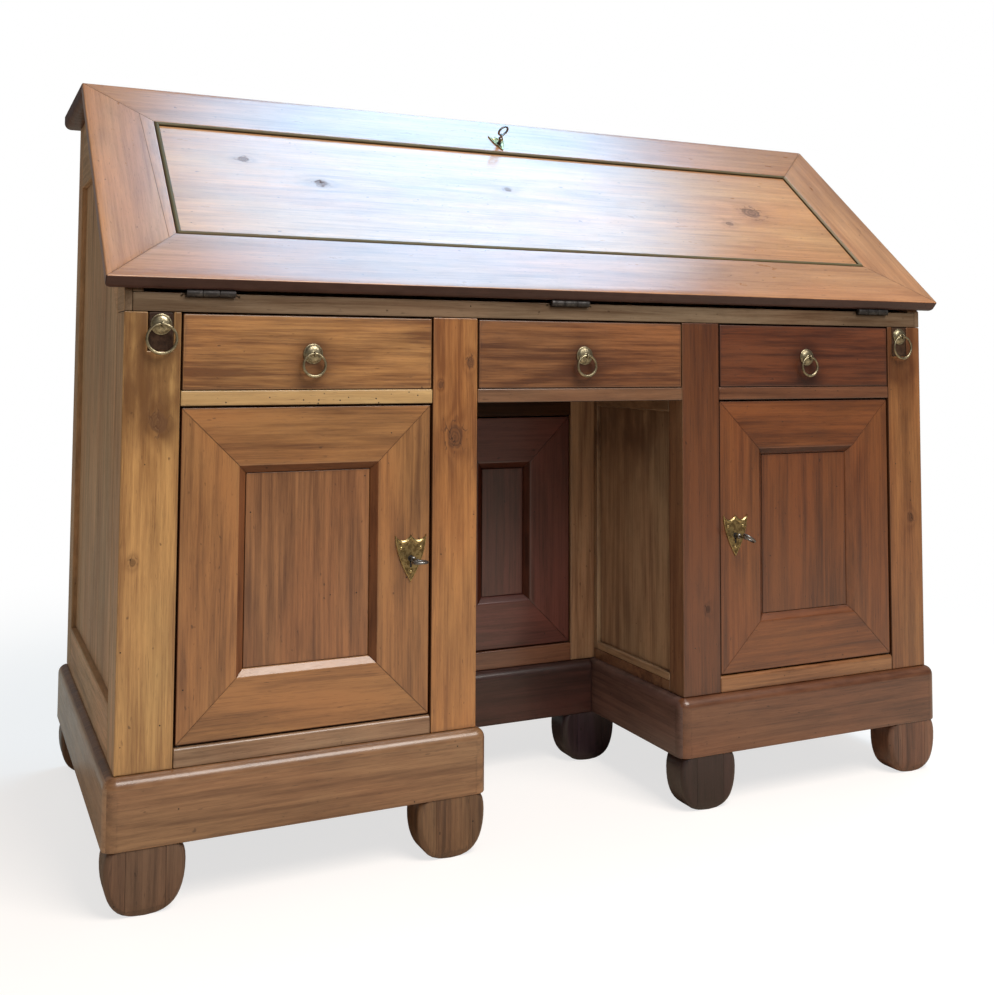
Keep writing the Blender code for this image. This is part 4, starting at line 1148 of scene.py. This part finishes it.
    def hinge_rail(self):
        """The rail under the lid, with a seat cut for each hinge."""
        low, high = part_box("hinge_rail")
        piece = add_cube("lid_rail", low, high)
        for name in HINGES:
            start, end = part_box(f"{name}_lid_hinge")
            left, right = start.x - SLACK, end.x + SLACK
            seat = (left, end.y - self.HINGE_SEAT, high.z - self.HINGE_NICK), (right, end.y + SLACK, 1.0)
            nick = (left, low.y - 0.01, start.z - 0.0004), (right, low.y + self.HINGE_NICK, 1.0)
            for corners in (seat, nick):
                cut_away(piece, add_cube("cutter", *corners))
        open_edit(piece)
        round_and_inset(piece, 0.0010, margin=0.005)
        # Painted shade on the rail's underside, which stands in a gap
        finish_board(piece, ALONG_X, gap=lambda way: way.z < -0.5)
        # The rail's darker colour is painted shadow under the lid
        dress(piece, wood("honey_wood", "hinge_rail"), "case", "hinge_rail")


class DESK_OT_drawers(DeskPiece, bpy.types.Operator):
    """Three drawers, each with a front and a box of boards"""

    bl_idname = "desk.drawers"
    bl_label = "Drawers"

    def execute(self, context):
        sizes = context.scene.desk_shape
        gap = sizes.joint_gap
        for name in DRAWERS:
            low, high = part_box(name)
            front = low.y + sizes.drawer_front
            end = (high.x, front, high.z)
            # Painted shade on the front's edges, which stand in the gap round the drawer
            piece = board(f"{name}_front", low, end, ALONG_X, edge=0.0022, gap=lambda way: abs(way.y) < 0.5)
            x, y, z = JOINTS[f"{name}_ring_swing"]["pos_m"]
            dark_patches = [(x, y, z, 0.024), (x, y, z - 0.03, 0.030)]
            dress(piece, wood("drawer_wood", name, dark_patches=dark_patches), name, name)
            wall = sizes.drawer_wall
            back = high.y - wall
            boards = {
                "left_wall": ((low.x, front + gap, low.z), (low.x + wall, high.y, high.z), ALONG_Y),
                "right_wall": ((high.x - wall, front + gap, low.z), (high.x, high.y, high.z), ALONG_Y),
                "back": ((low.x + wall + gap, back, low.z), (high.x - wall - gap, high.y, high.z), ALONG_X),
                "bottom": (
                    (low.x + wall + gap, front + gap, low.z),
                    (high.x - wall - gap, back - gap, low.z + sizes.drawer_bottom),
                    ALONG_Y,
                ),
            }
            for tag, (start, end, along) in boards.items():
                piece = board(f"{name}_{tag}", start, end, along, edge=0.001)
                dress(piece, wood("inside_wood"), name, name)
        return {"FINISHED"}


class DESK_OT_lopers(DeskPiece, bpy.types.Operator):
    """Two lopers that carry the opened lid"""

    bl_idname = "desk.lopers"
    bl_label = "Lopers"

    def execute(self, context):
        for name, _ in SIDES:
            node = f"{name}_loper"
            piece = board(f"{name}_bearer", *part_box(node), ALONG_Y, margin=0.005)
            dress(piece, wood("foot_wood", "loper"), node, node)
        return {"FINISHED"}


class DESK_OT_doors(DeskPiece, bpy.types.Operator):
    """Three doors with mitred, bevelled frames round a sunk field"""

    bl_idname = "desk.doors"
    bl_label = "Doors"

    def execute(self, context):
        for name in ("left_door", "right_door", "kneehole_door"):
            self.door(name, context.scene.desk_shape)
        return {"FINISHED"}

    def door(self, name, sizes):
        low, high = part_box(name)
        low.z += sizes.door_pivot
        high.z -= sizes.door_pivot
        front, back = low.y, low.y + sizes.door_thickness
        width = sizes.door_member + sizes.door_bevel
        self.members(name, low, high, back, width, sizes)
        inset = width + 0.0002
        reach = sizes.door_pivot
        pin_profile = [
            (0.0028, -0.010), (0.0030, -0.009), (0.0030, 0.0010),
            (0.0028, 0.0016), (0.0025, 0.0017), (0.0025, reach),
        ]
        # Painted shade on the field's sides, which stand in a gap
        field = board(
            f"{name}_field",
            (low.x + inset, front + sizes.door_sink, low.z + inset),
            (high.x - inset, back - 0.005, high.z - inset),
            ALONG_Z, edge=0.0010, margin=0.004, gap=lambda way: abs(way.y) < 0.5,
        )
        dress(field, wood("door_wood", field.name), name, name)
        pivot = Vector(JOINTS[f"{name}_hinge"]["pos_m"])
        for tag, level, way in (("lower", low.z, -1), ("upper", high.z, 1)):
            pin = turned(f"{name}_{tag}_pivot", pin_profile, 20)
            place(pin, towards((pivot.x, pivot.y, level), (0, 0, way)))
            dress(pin, metal("steel", 1.2), name, name)

    def members(self, name, low, high, back, width, sizes):
        """The four boards of a door's frame, mitred at the corners and bevelled towards the field."""
        front, inner = low.y, low.y + sizes.door_sink
        for tag, axis, way in (("lower", 2, 1), ("upper", 2, -1), ("left", 0, 1), ("right", 0, -1)):
            along = 2 - axis
            edge = (low if way > 0 else high)[axis]
            start, end = low.copy(), Vector((high.x, back, high.z))
            start[axis], end[axis] = sorted((edge, edge + way * width))
            mitres = []
            for corner, side in ((low, -1), (high, 1)):
                at, away = [0.0, front, 0.0], [0.0, 0.0, 0.0]
                at[axis], at[along] = edge, corner[along]
                away[axis], away[along] = way, side
                mitres.append(mitre(at, away, sizes.joint_gap))
            at, away = [0.0, inner, 0.0], [0.0, -sizes.door_bevel, 0.0]
            at[axis], away[axis] = edge + way * width, way * sizes.door_sink
            # Painted shade on the member's outer side, which stands in a gap
            piece = board(
                f"{name}_{tag}_member", start, end, along, mitres, [(at, away)],
                margin=0.004, gap=lambda normal: normal[axis] * way < -0.5,
            )
            self.dress_member(piece, name)

    def dress_member(self, piece, name):
        """The bevels take darker copies of the door's wood as painted shade, except the lower one and one
        that the light meets.
        """

        def dark(face):
            lit = name == "right_door" and face.normal.x < -0.3
            return -0.95 < face.normal.y < -0.3 and face.normal.z < 0.3 and not lit

        dress(piece, wood("door_wood", name), name, name)
        paint_faces(piece, wood("door_wood", f"{name}_bevel"), dark)


class DESK_OT_kneehole(DeskPiece, bpy.types.Operator):
    """Frame behind the kneehole and the panelled walls beside it"""

    bl_idname = "desk.kneehole"
    bl_label = "Kneehole"

    def execute(self, context):
        low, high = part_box("kneehole_frame")
        stile, sill, head = 0.048, 0.030, 0.036
        boards = {
            "left_stile": ((low.x, low.x + stile), (low.z, high.z), ALONG_Z),
            "right_stile": ((high.x - stile, high.x), (low.z, high.z), ALONG_Z),
            "sill": ((low.x + stile, high.x - stile), (low.z, low.z + sill), ALONG_X),
            "head": ((low.x + stile, high.x - stile), (high.z - head, high.z), ALONG_X),
        }
        for tag, (x, z, along) in boards.items():
            piece = board(f"kneehole_{tag}", (x[0], low.y, z[0]), (x[1], high.y, z[1]), along, margin=0.005)
            # The head takes a nearly black copy of the wood as painted shadow under the drawers; the sill a
            # darker one
            tone = f"kneehole_{tag}" if tag in ("head", "sill") else "kneehole_frame"
            dress(piece, wood("door_wood", tone), "case", "kneehole_frame")
        for name, sign in SIDES:
            self.wall(name, sign, low.y)
        return {"FINISHED"}

    def wall(self, name, sign, knee_back):
        low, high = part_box(f"{name}_inner_side")
        shown, hidden = (low.x, high.x) if sign > 0 else (high.x, low.x)
        front, back = FRONT + 0.0402, knee_back - 0.008
        foot, head = low.z + 0.012, high.z - 0.020
        boards = {
            "rear_board": (shown, (back, high.y), (low.z, high.z), ALONG_Z),
            "bottom_rail": (shown, (front, back), (low.z, foot), ALONG_Y),
            "top_rail": (shown, (front, back), (head, high.z), ALONG_Y),
            "panel": (shown + sign * 0.006, (front, back), (foot, head), ALONG_Z),
        }
        for tag, (face, y, z, along) in boards.items():
            start, end = zip(sorted((face, hidden)), y, z)
            piece = board(f"{name}_wall_{tag}", start, end, along)
            # Painted shadow at the top of the wall, under the drawers, laid as dark patches
            dark_patches = [(shown, y, high.z, 0.11) for y in (-0.05, -0.13)]
            dress(piece, wood("door_wood", f"{name}_inner_side", dark_patches=dark_patches), "case", f"{name}_inner_side")


class DESK_OT_plinths(DeskPiece, bpy.types.Operator):
    """Plinths with rounded corners and a rounded top edge"""

    bl_idname = "desk.plinths"
    bl_label = "Plinths"

    def execute(self, context):
        sizes = context.scene.desk_shape
        for name, sign in SIDES:
            self.pedestal_plinth(name, sign, sizes)
        low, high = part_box("kneehole_plinth")
        piece = start_board("kneehole_base", low, high)
        pick(piece, "edges", top_front(low, high))
        round_off(sizes.plinth_round, 6)
        round_and_inset(piece, sizes.edge_round)
        finish_board(piece, ALONG_X)
        # The kneehole's plinth takes a darker copy of the wood as painted shade
        dress(piece, wood("foot_wood", "kneehole_plinth"), "case", "kneehole_plinth")
        return {"FINISHED"}

    def pedestal_plinth(self, name, sign, sizes):
        """A run along the front with a return along the side and one into the kneehole."""
        low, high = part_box(f"{name}_plinth")
        thick = sizes.plinth_thickness
        outer, knee = (high.x, low.x) if sign > 0 else (low.x, high.x)
        outer_line, knee_line = outer - sign * thick, knee + sign * thick
        back = low.y + thick
        knee_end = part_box("kneehole_plinth")[1].y
        piece = start_board(f"{name}_base", low, (high.x, back, high.z))
        for x in (outer_line, knee_line):
            score((x, 0, 0), (1, 0, 0))

        def behind(face, x):
            return face.normal.y > 0.5 and abs(face.calc_center_median().x - x) < thick / 4

        for middle, end in ((outer - sign * thick / 2, high.y), (knee + sign * thick / 2, knee_end)):
            pick(piece, "faces", lambda face: behind(face, middle))
            extrude((0, end - back, 0))
        merge_flat()

        def front_corner(edge):
            a, b = (corner.co for corner in edge.verts)
            return max(a.y, b.y) < low.y + TOUCH and abs(a.x - b.x) < TOUCH

        pick(piece, "edges", front_corner)
        round_off(sizes.plinth_corner, 8)
        rim = sizes.plinth_corner / 2

        def top_rim(edge):
            a, b = (corner.co for corner in edge.verts)
            middle = (a + b) / 2
            shown = abs(middle.x - outer) < rim or abs(middle.x - knee) < rim or middle.y < low.y + rim
            return min(a.z, b.z) > high.z - TOUCH and shown

        pick(piece, "edges", top_rim)
        round_off(sizes.plinth_round, 6)
        round_and_inset(piece, sizes.edge_round)

        def on_return(face):
            return abs(face.normal.x) > 0.71 and abs(face.normal.x) > -face.normal.y

        def in_kneehole(face):
            behind_front = face.center.y > back and abs(face.center.x - knee) < thick
            return face.normal.x * sign < -0.75 or behind_front

        def on_side(face):
            return face.normal.x * sign > 0.75 and not in_kneehole(face)

        finish_board(piece, ALONG_X, on_return)
        dress(piece, wood("honey_wood", f"{name}_plinth"), "case", f"{name}_plinth")
        # The faces in the kneehole take a darker wood as painted shade
        paint_faces(piece, wood("foot_wood", "plinth_return"), in_kneehole)
        # The outer side takes a greyer, bluer copy of the wood as a painted sheen
        paint_faces(piece, wood("honey_wood", "plinth_side"), on_side)


class DESK_OT_feet(DeskPiece, bpy.types.Operator):
    """Eight feet that swell from a flat base to a shoulder"""

    bl_idname = "desk.feet"
    bl_label = "Feet"

    def execute(self, context):
        for name, _ in SIDES:
            for kind in ("outer", "inner", "kneehole", "rear"):
                self.foot(f"{name}_{kind}", context.scene.desk_shape)
        return {"FINISHED"}

    def foot(self, name, sizes):
        """A foot laid up from a middle piece and two cheeks, each sawn from the whole foot's shape."""
        low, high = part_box(f"{name}_foot")
        middle = (low + high) / 2
        lines = middle.x - 0.024, middle.x + 0.025
        gap = sizes.joint_gap * 0.7
        parts = {
            "left_cheek": [((lines[0] - gap, 0, 0), (1, 0, 0))],
            "heart": [((lines[0] + gap, 0, 0), (-1, 0, 0)), ((lines[1] - gap, 0, 0), (1, 0, 0))],
            "right_cheek": [((lines[1] + gap, 0, 0), (-1, 0, 0))],
        }
        for tag, cuts in parts.items():
            piece = start_board(f"{name}_foot_{tag}", low, high)
            self.swell(piece, middle, high.x - low.x, high.z, sizes)
            for at, away in cuts:
                saw(at, away)
            pick(piece, "faces", lambda face: abs(face.normal.y) > 0.99)
            finish_board(piece, ALONG_Z)
            dress(piece, wood("foot_wood", f"{name}_foot"), "case", f"{name}_foot")

    def swell(self, piece, middle, width, height, sizes):
        """Draws a block in towards its base and, a little, towards its top, and rounds its front and back."""
        widest = height - sizes.foot_shoulder
        shares = {}
        for step in range(11):
            level = widest * (step / 10) ** 1.8
            bulge = (1 - (1 - level / widest) ** 2.2) ** (1 / 2.2)
            shares[level] = (sizes.foot_base + (width - sizes.foot_base) * bulge) / width
        for step in range(1, 5):
            turn = QUARTER * step / 4
            level = widest + sizes.foot_shoulder * math.sin(turn)
            shares[level] = (sizes.foot_top + (width - sizes.foot_top) * math.cos(turn)) / width
        for level in list(shares)[1:-1]:
            score((0, 0, level), (0, 0, 1))
        for level, share in shares.items():
            pick(piece, "verts", lambda corner: abs(corner.co.z - level) < TOUCH)
            deep = 0.94 - 0.16 * max(0.0, 1.0 - level / 0.02) ** 2
            bpy.ops.transform.resize(value=(0.955 * share, deep, 1.0), center_override=middle)

        def face_rim(edge):
            a, b = (corner.co for corner in edge.verts)
            return abs(a.z - b.z) > TOUCH and edge.calc_face_angle(0.0) > 0.5

        pick(piece, "edges", face_rim)
        round_off(0.008, 4)


class DESK_OT_back(DeskPiece, bpy.types.Operator):
    """Upright planks of the back"""

    bl_idname = "desk.back"
    bl_label = "Back"

    PLANKS = 7

    def execute(self, context):
        low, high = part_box("back_panel")
        pitch = (high.x - low.x) / self.PLANKS
        groove = 0.0022
        for plank in range(self.PLANKS):
            start = Vector((low.x + plank * pitch + TOUCH, low.y, low.z))
            end = Vector((low.x + (plank + 1) * pitch - TOUCH, high.y, high.z))
            piece = board(f"back_plank_{plank + 1}", start, end, ALONG_Z, edge=groove)
            dress(piece, wood("inside_wood"), "case", "back_panel")
        return {"FINISHED"}


class DESK_OT_ring_pulls(DeskPiece, bpy.types.Operator):
    """Domed rosettes with an eye, and the rings that hang in them"""

    bl_idname = "desk.ring_pulls"
    bl_label = "Ring pulls"

    def execute(self, context):
        sizes = context.scene.desk_shape
        for name in (*DRAWERS, "left_loper", "right_loper"):
            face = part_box(f"{name}_rosette")[1].y
            eye = Vector(JOINTS[f"{name}_ring_swing"]["pos_m"])
            dome = turned(
                f"{name}_boss",
                [
                    (0.0132, 0.0), (0.0135, 0.0004), (0.0135, 0.0011), (0.0129, 0.0016), (0.0122, 0.0016),
                    (0.0117, 0.0022), (0.0106, 0.0034), (0.0088, 0.0044), (0.0064, 0.0051), (0.0042, 0.0054),
                    (0.0030, 0.0056), (0.0026, 0.0062), (0.0005, 0.0063),
                ],
                40,
            )
            place(dome, towards((eye.x, face, eye.z), FORWARD))
            loop = smooth(add_torus("loop", 0.0031, 0.0011, eye, (0.0, QUARTER, 0.0), 28))
            dress(join([dome, loop], f"{name}_boss"), bronze(), name, f"{name}_rosette")
            self.ring(name, eye, sizes.ring_wire)
        return {"FINISHED"}

    def ring(self, name, eye, wire):
        """A ring of wire that is stouter at its foot, where the hand pulls."""
        low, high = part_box(f"{name}_ring")
        radius = (high.x - low.x) / 2 - wire
        middle = (eye.x, eye.y, eye.z - radius)
        ring = add_torus(f"{name}_hoop", radius, wire, middle, (QUARTER, 0.0, 0.0), 64)
        open_edit(ring)
        for share in (0.1, 0.35, 0.6, 0.8):
            pick(ring, "verts", lambda corner: corner.co.z < middle[2] - share * radius)
            bpy.ops.transform.shrink_fatten(value=0.0001)
        close_edit()
        dress(smooth(ring), bronze(), f"{name}_ring", f"{name}_ring")


class DESK_OT_locks(DeskPiece, bpy.types.Operator):
    """Shield-shaped lock plates and the keys in them"""

    bl_idname = "desk.locks"
    bl_label = "Locks"

    def execute(self, context):
        upright = Matrix.Rotation(-QUARTER, 4, "X")
        for name, turn, reach, width, height in (
            ("left_door", 90, 0.046, 0.046, 0.065),
            ("right_door", -55, 0.046, 0.046, 0.065),
            ("lid", 65, 0.036, 0.027, 0.044),
        ):
            spot = Matrix.Translation(JOINTS[f"{name}_key_turn"]["pos_m"])
            if name == "lid":
                spot = spot @ Matrix.Rotation(LID_SLOPE, 4, "X") @ upright
            plate = self.plate(f"{name}_shield", width, height, context.scene.desk_shape)
            faces = plate.data.polygons
            widest = max(face.area for face in faces)
            dull = [face.index for face in faces if face.area > 0.2 * widest]
            case = [face.index for face in faces if face.center.y > -0.00105 and face.normal.y < -0.1]
            dress(place(plate, spot), metal("brass", 0.7), name, f"{name}_escutcheon")
            paint_faces(plate, metal("brass", 1.0), lambda face: face.index in dull)
            paint_faces(plate, metal("steel", 1.4), lambda face: face.index in case)
            key = self.key(f"{name}_iron", reach, math.radians(turn))
            dress(place(key, spot), metal("steel", 0.85), f"{name}_key", f"{name}_key")
        return {"FINISHED"}

    def outline(self, width, height, inset):
        """The shield's rim, round from the middle of its scalloped top, drawn in by an inset."""
        half, top, base = width / 2 - inset, height / 2 - 2.1 * inset, 1.6 * inset - height / 2
        right = []
        for step in range(14):
            share = step / 14
            right.append((half * share, top - 0.12 * height * math.sin(math.pi * share) ** 0.7))
        for step in range(24):
            share = step / 24
            right.append((half * (1 - share**1.8), top + (base - top) * share))
        return right + [(0.0, base)] + [(-x, z) for x, z in reversed(right[1:])]

    def plate(self, name, width, height, sizes):
        """A stack of discs pulled to the shield's outline, raised round its rim, pierced and pinned."""
        thick, rim = sizes.plate_thickness, sizes.plate_rim
        levels = ((0.0, 0.0), (0.0, 0.5 * thick), (0.5 * rim, thick), (rim, thick))
        levels += ((rim + 0.0006, thick - 0.0008),)
        outlines = [self.outline(width, height, inset) for inset, _ in levels]
        count = len(outlines[0])
        piece = add_cylinder(name, width / 2, 0.0, 1.0, count)
        open_edit(piece)
        pick(piece, "faces", lambda face: face.normal.z > 0.9)
        for _ in levels[2:]:
            extrude((0, 0, 1.0))
        shape = bmesh.from_edit_mesh(piece.data)
        for corner in shape.verts:
            level = round(corner.co.z)
            turn = math.atan2(corner.co.x, corner.co.y) / (2 * math.pi)
            x, z = outlines[level][round(turn * count) % count]
            corner.co = (x, -0.0003 - levels[level][1], z)
        bmesh.update_edit_mesh(piece.data)
        face_outwards()
        close_edit()
        hole = turned("hole", [(0.0046, -0.01), (0.0046, 0.01)], 24)
        cut_away(piece, place(hole, towards((0, 0, 0), FORWARD)))
        cut_away(piece, add_cube("slit", (-0.0017, -0.01, -0.012), (0.0017, 0.01, 0.0)))
        smooth(piece, 25.0)
        behind = turned("behind", [(0.0060, 0.0), (0.0060, 0.0004), (0.0056, 0.0007)], 24)
        pins = [place(behind, towards((0, -0.0003, 0), FORWARD))]
        sunk = add_cube("sunk", (-0.0026, -0.0010, -0.013), (0.0026, -0.0003, -0.004))
        pins.append(soften(sunk, 0.0001, 1))
        size = width / 0.046
        for index, (across, up) in enumerate(((-0.31, 0.22), (0.31, 0.22), (0.0, -0.28))):
            profile = [(0.0026 * size, -0.0004), (0.0026 * size, 0.0), (0.0021 * size, 0.0007)]
            profile += [(0.0012 * size, 0.0012), (0.0003, 0.0014)]
            pin = turned(f"pin_{index}", profile, 16)
            pins.append(place(pin, towards((across * width, 0.0006 - thick, up * height), FORWARD)))
        return join([piece, *pins], name)

    def key(self, name, reach, turn):
        """A turned shank with a collar and a baluster, and an oval bow turned about the shank."""
        end = reach - 0.0171
        profile = [
            (0.0020, -0.014), (0.0026, -0.013), (0.0026, 0.0095), (0.0033, 0.0100), (0.0042, 0.0110),
            (0.0042, 0.0120), (0.0033, 0.0130), (0.0026, 0.0134), (0.0023, 0.6 * end + 0.0054),
            (0.0031, 0.8 * end + 0.0027), (0.0034, 0.9 * end + 0.0014), (0.0026, end), (0.0020, end + 0.0008),
        ]
        shank = place(turned(name, profile, 24), towards((0, 0, 0), FORWARD))
        middle = 0.0095 - reach
        bow = add_torus("bow", 0.0106, 0.0019, (0, middle, 0), (0, QUARTER, 0), 40)
        open_edit(bow)
        bpy.ops.mesh.select_all(action="SELECT")
        bpy.ops.transform.resize(value=(1.0, 0.76, 1.0), center_override=(0, middle, 0))
        close_edit()
        smooth(bow)
        place(bow, Matrix.Rotation(turn, 4, "Y"))
        return join([shank, bow], name)


class DESK_OT_lid_hinges(DeskPiece, bpy.types.Operator):
    """Barrels of the lid's hinges with the leaves and screws that hold them"""

    bl_idname = "desk.lid_hinges"
    bl_label = "Lid hinges"

    def execute(self, context):
        for name in HINGES:
            node = f"{name}_lid_hinge"
            low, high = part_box(node)
            span = high.x - low.x
            profile = []
            for knuckle in range(3):
                start = knuckle * span / 3
                end = start + span / 3
                profile += [(0.0040, start + 0.0001), (0.0049, start + 0.0006), (0.0050, start + 0.0012)]
                profile += [(0.0050, end - 0.0012), (0.0049, end - 0.0006), (0.0040, end - 0.0001)]
            spot = towards((low.x, LID_PIN.y, LID_PIN.z), (1, 0, 0))
            barrel = place(turned(f"{name}_barrel", profile, 24), spot)
            level = LID_PIN.z - SLACK
            start, end = (low.x + 0.0006, LID_PIN.y + 0.0025, level - 0.002), (high.x - 0.0006, high.y, level)
            leaf = soften(add_cube("leaf", start, end), 0.0004, 2)
            screws = []
            head = [(0.0030, 0.0), (0.0030, 0.0003), (0.0022, 0.00055), (0.0004, 0.0006)]
            for index, share in enumerate((0.15, 0.5, 0.85)):
                spot = (low.x + share * span, high.y - (0.006 if index != 1 else 0.012), level - 0.0003)
                screws.append(place(turned(f"screw_{index}", head, 16), Matrix.Translation(spot)))
            whole = join([barrel, smooth(leaf), *screws], f"{name}_barrel")
            dress(whole, metal("steel", 1.15), "case", node)
        return {"FINISHED"}


class DESK_OT_inside(DeskPiece, bpy.types.Operator):
    """Raw wood on the boards inside the case"""

    bl_idname = "desk.inside"
    bl_label = "Inside boards"

    def execute(self, context):
        for node, along in (("writing_bed", ALONG_X), ("drawer_deck", ALONG_Y), ("cupboard_floor", ALONG_X)):
            material = wood("door_wood" if node == "cupboard_floor" else "inside_wood", node, axis=along)
            for slot in frame["nodes"][node].material_slots:
                slot.material = material
        return {"FINISHED"}


class DESK_OT_stage(DeskPiece, bpy.types.Operator):
    """Pale floor, soft light and a camera at the photograph's place"""

    bl_idname = "desk.stage"
    bl_label = "Stage"

    # Place, target, size, power and colour of each lamp
    LAMPS = {
        "window_light": ((1.72, 1.10, 5.6), (0.1, 0.0, 0.95), (2.6, 2.4), 138.0, (0.315, 0.67, 1.0)),
        "key_light": ((0.40, -1.9, 2.75), (-0.2, 0.0, 0.5), (1.7, 1.7), 78.0, (1.0, 0.97, 0.92)),
    }
    # The camera that was fitted to the photo: place, yaw, pitch and roll, focal length and shift
    CAMERA_PLACE = (-0.871, -1.834, 0.685)
    CAMERA_TURN = (24.93, 3.47, 0.275)
    CAMERA_LENS = 42.72
    CAMERA_SHIFT = (0.0047, -0.210)
    FLOOR_SIZE = 40.0
    # Distances from the desk between which the floor fades to white
    FADE = (0.9, 2.2)

    def execute(self, context):
        self.floor()
        self.world(context.scene)
        for name, settings in self.LAMPS.items():
            self.lamp(name, *settings)
        self.camera(context.scene)
        context.scene.view_settings.view_transform = "Standard"
        return {"FINISHED"}

    def floor(self):
        deselect()
        bpy.ops.mesh.primitive_plane_add(size=self.FLOOR_SIZE)
        piece = named(bpy.context.object, "studio_floor")
        material = bpy.data.materials.new("studio_floor_white")
        material.use_nodes = True
        s = Sheet(material.node_tree)
        plain = s.node("ShaderNodeBsdfDiffuse", {"Color": (0.74, 0.60, 0.46, 1.0)}).outputs[0]
        faint = s.node("ShaderNodeBsdfDiffuse", {"Color": (0.42, 0.38, 0.35, 1.0)}).outputs[0]
        lift = s.glow("ShaderNodeEmission", WHITE, 0.70)
        near = s.node("ShaderNodeAddShader", {0: faint, 1: lift}).outputs[0]
        away = s.glow("ShaderNodeEmission", WHITE, 1.0)
        seen = s.blend(s.ramp(s.span(s.place()), *self.FADE), near, away)
        camera = s.node("ShaderNodeLightPath").outputs["Is Camera Ray"]
        mixed = s.blend(camera, plain, seen)
        material.node_tree.links.new(mixed, material.node_tree.nodes["Material Output"].inputs["Surface"])
        piece.data.materials.append(material)

    def world(self, scene):
        scene.world = scene.world or bpy.data.worlds.new("studio")
        scene.world.use_nodes = True
        tree = scene.world.node_tree
        tree.nodes.clear()
        s = Sheet(tree)
        soft = s.glow("ShaderNodeBackground", (1.0, 0.95, 0.88, 1.0), 0.28)
        dim = s.glow("ShaderNodeBackground", WHITE, 0.12)
        white = s.glow("ShaderNodeBackground", WHITE, 1.0)
        path = s.node("ShaderNodeLightPath").outputs
        lit = s.blend(path["Is Glossy Ray"], soft, dim)
        s.node("ShaderNodeOutputWorld", {"Surface": s.blend(path["Is Camera Ray"], lit, white)})

    def lamp(self, name, spot, target, size, power, tint):
        deselect()
        aim = Vector(target) - Vector(spot)
        turn = aim.to_track_quat("-Z", "Y").to_euler()
        bpy.ops.object.light_add(type="AREA", location=spot, rotation=turn)
        lamp = bpy.context.object
        lamp.name = name
        lamp.data.shape = "RECTANGLE"
        lamp.data.size, lamp.data.size_y = size
        lamp.data.energy = power
        lamp.data.color = tint

    def camera(self, scene):
        deselect()
        bpy.ops.object.camera_add()
        camera = bpy.context.object
        camera.name = "photo_camera"
        yaw, pitch, roll = (math.radians(value) for value in self.CAMERA_TURN)
        turn = Matrix.Rotation(-yaw, 4, "Z") @ Matrix.Rotation(QUARTER + pitch, 4, "X")
        turn = turn @ Matrix.Rotation(roll, 4, "Z")
        camera.matrix_world = Matrix.Translation(self.CAMERA_PLACE) @ turn
        camera.data.sensor_width = 36.0
        camera.data.sensor_fit = "HORIZONTAL"
        camera.data.lens = self.CAMERA_LENS
        camera.data.shift_x, camera.data.shift_y = self.CAMERA_SHIFT
        scene.camera = camera


OPERATORS = (
    DESK_OT_lid,
    DESK_OT_top_board,
    DESK_OT_sides,
    DESK_OT_front_frame,
    DESK_OT_drawers,
    DESK_OT_lopers,
    DESK_OT_doors,
    DESK_OT_kneehole,
    DESK_OT_plinths,
    DESK_OT_feet,
    DESK_OT_back,
    DESK_OT_ring_pulls,
    DESK_OT_locks,
    DESK_OT_lid_hinges,
    DESK_OT_inside,
    DESK_OT_stage,
)


class DESK_PT_pieces(bpy.types.Panel):
    """Lists the desk's pieces"""

    bl_idname = "DESK_PT_pieces"
    bl_label = "Desk"
    bl_space_type = "VIEW_3D"
    bl_region_type = "UI"
    bl_category = "Desk"

    def draw(self, context):
        for operator in OPERATORS:
            self.layout.operator(operator.bl_idname)


CLASSES = (DeskShape, DeskFinish, *OPERATORS, DESK_PT_pieces)


def register():
    for each in CLASSES:
        bpy.utils.register_class(each)
    bpy.types.Scene.desk_shape = PointerProperty(type=DeskShape)
    bpy.types.Scene.desk_finish = PointerProperty(type=DeskFinish)


def unregister():
    del bpy.types.Scene.desk_finish
    del bpy.types.Scene.desk_shape
    for each in reversed(CLASSES):
        bpy.utils.unregister_class(each)


def main():
    register()
    bpy.ops.desk.lid()
    bpy.ops.desk.top_board()
    bpy.ops.desk.sides()
    bpy.ops.desk.front_frame()
    bpy.ops.desk.drawers()
    bpy.ops.desk.lopers()
    bpy.ops.desk.doors()
    bpy.ops.desk.kneehole()
    bpy.ops.desk.plinths()
    bpy.ops.desk.feet()
    bpy.ops.desk.back()
    bpy.ops.desk.ring_pulls()
    bpy.ops.desk.locks()
    bpy.ops.desk.lid_hinges()
    bpy.ops.desk.inside()
    bpy.ops.desk.stage()


if __name__ == "__main__":
    main()
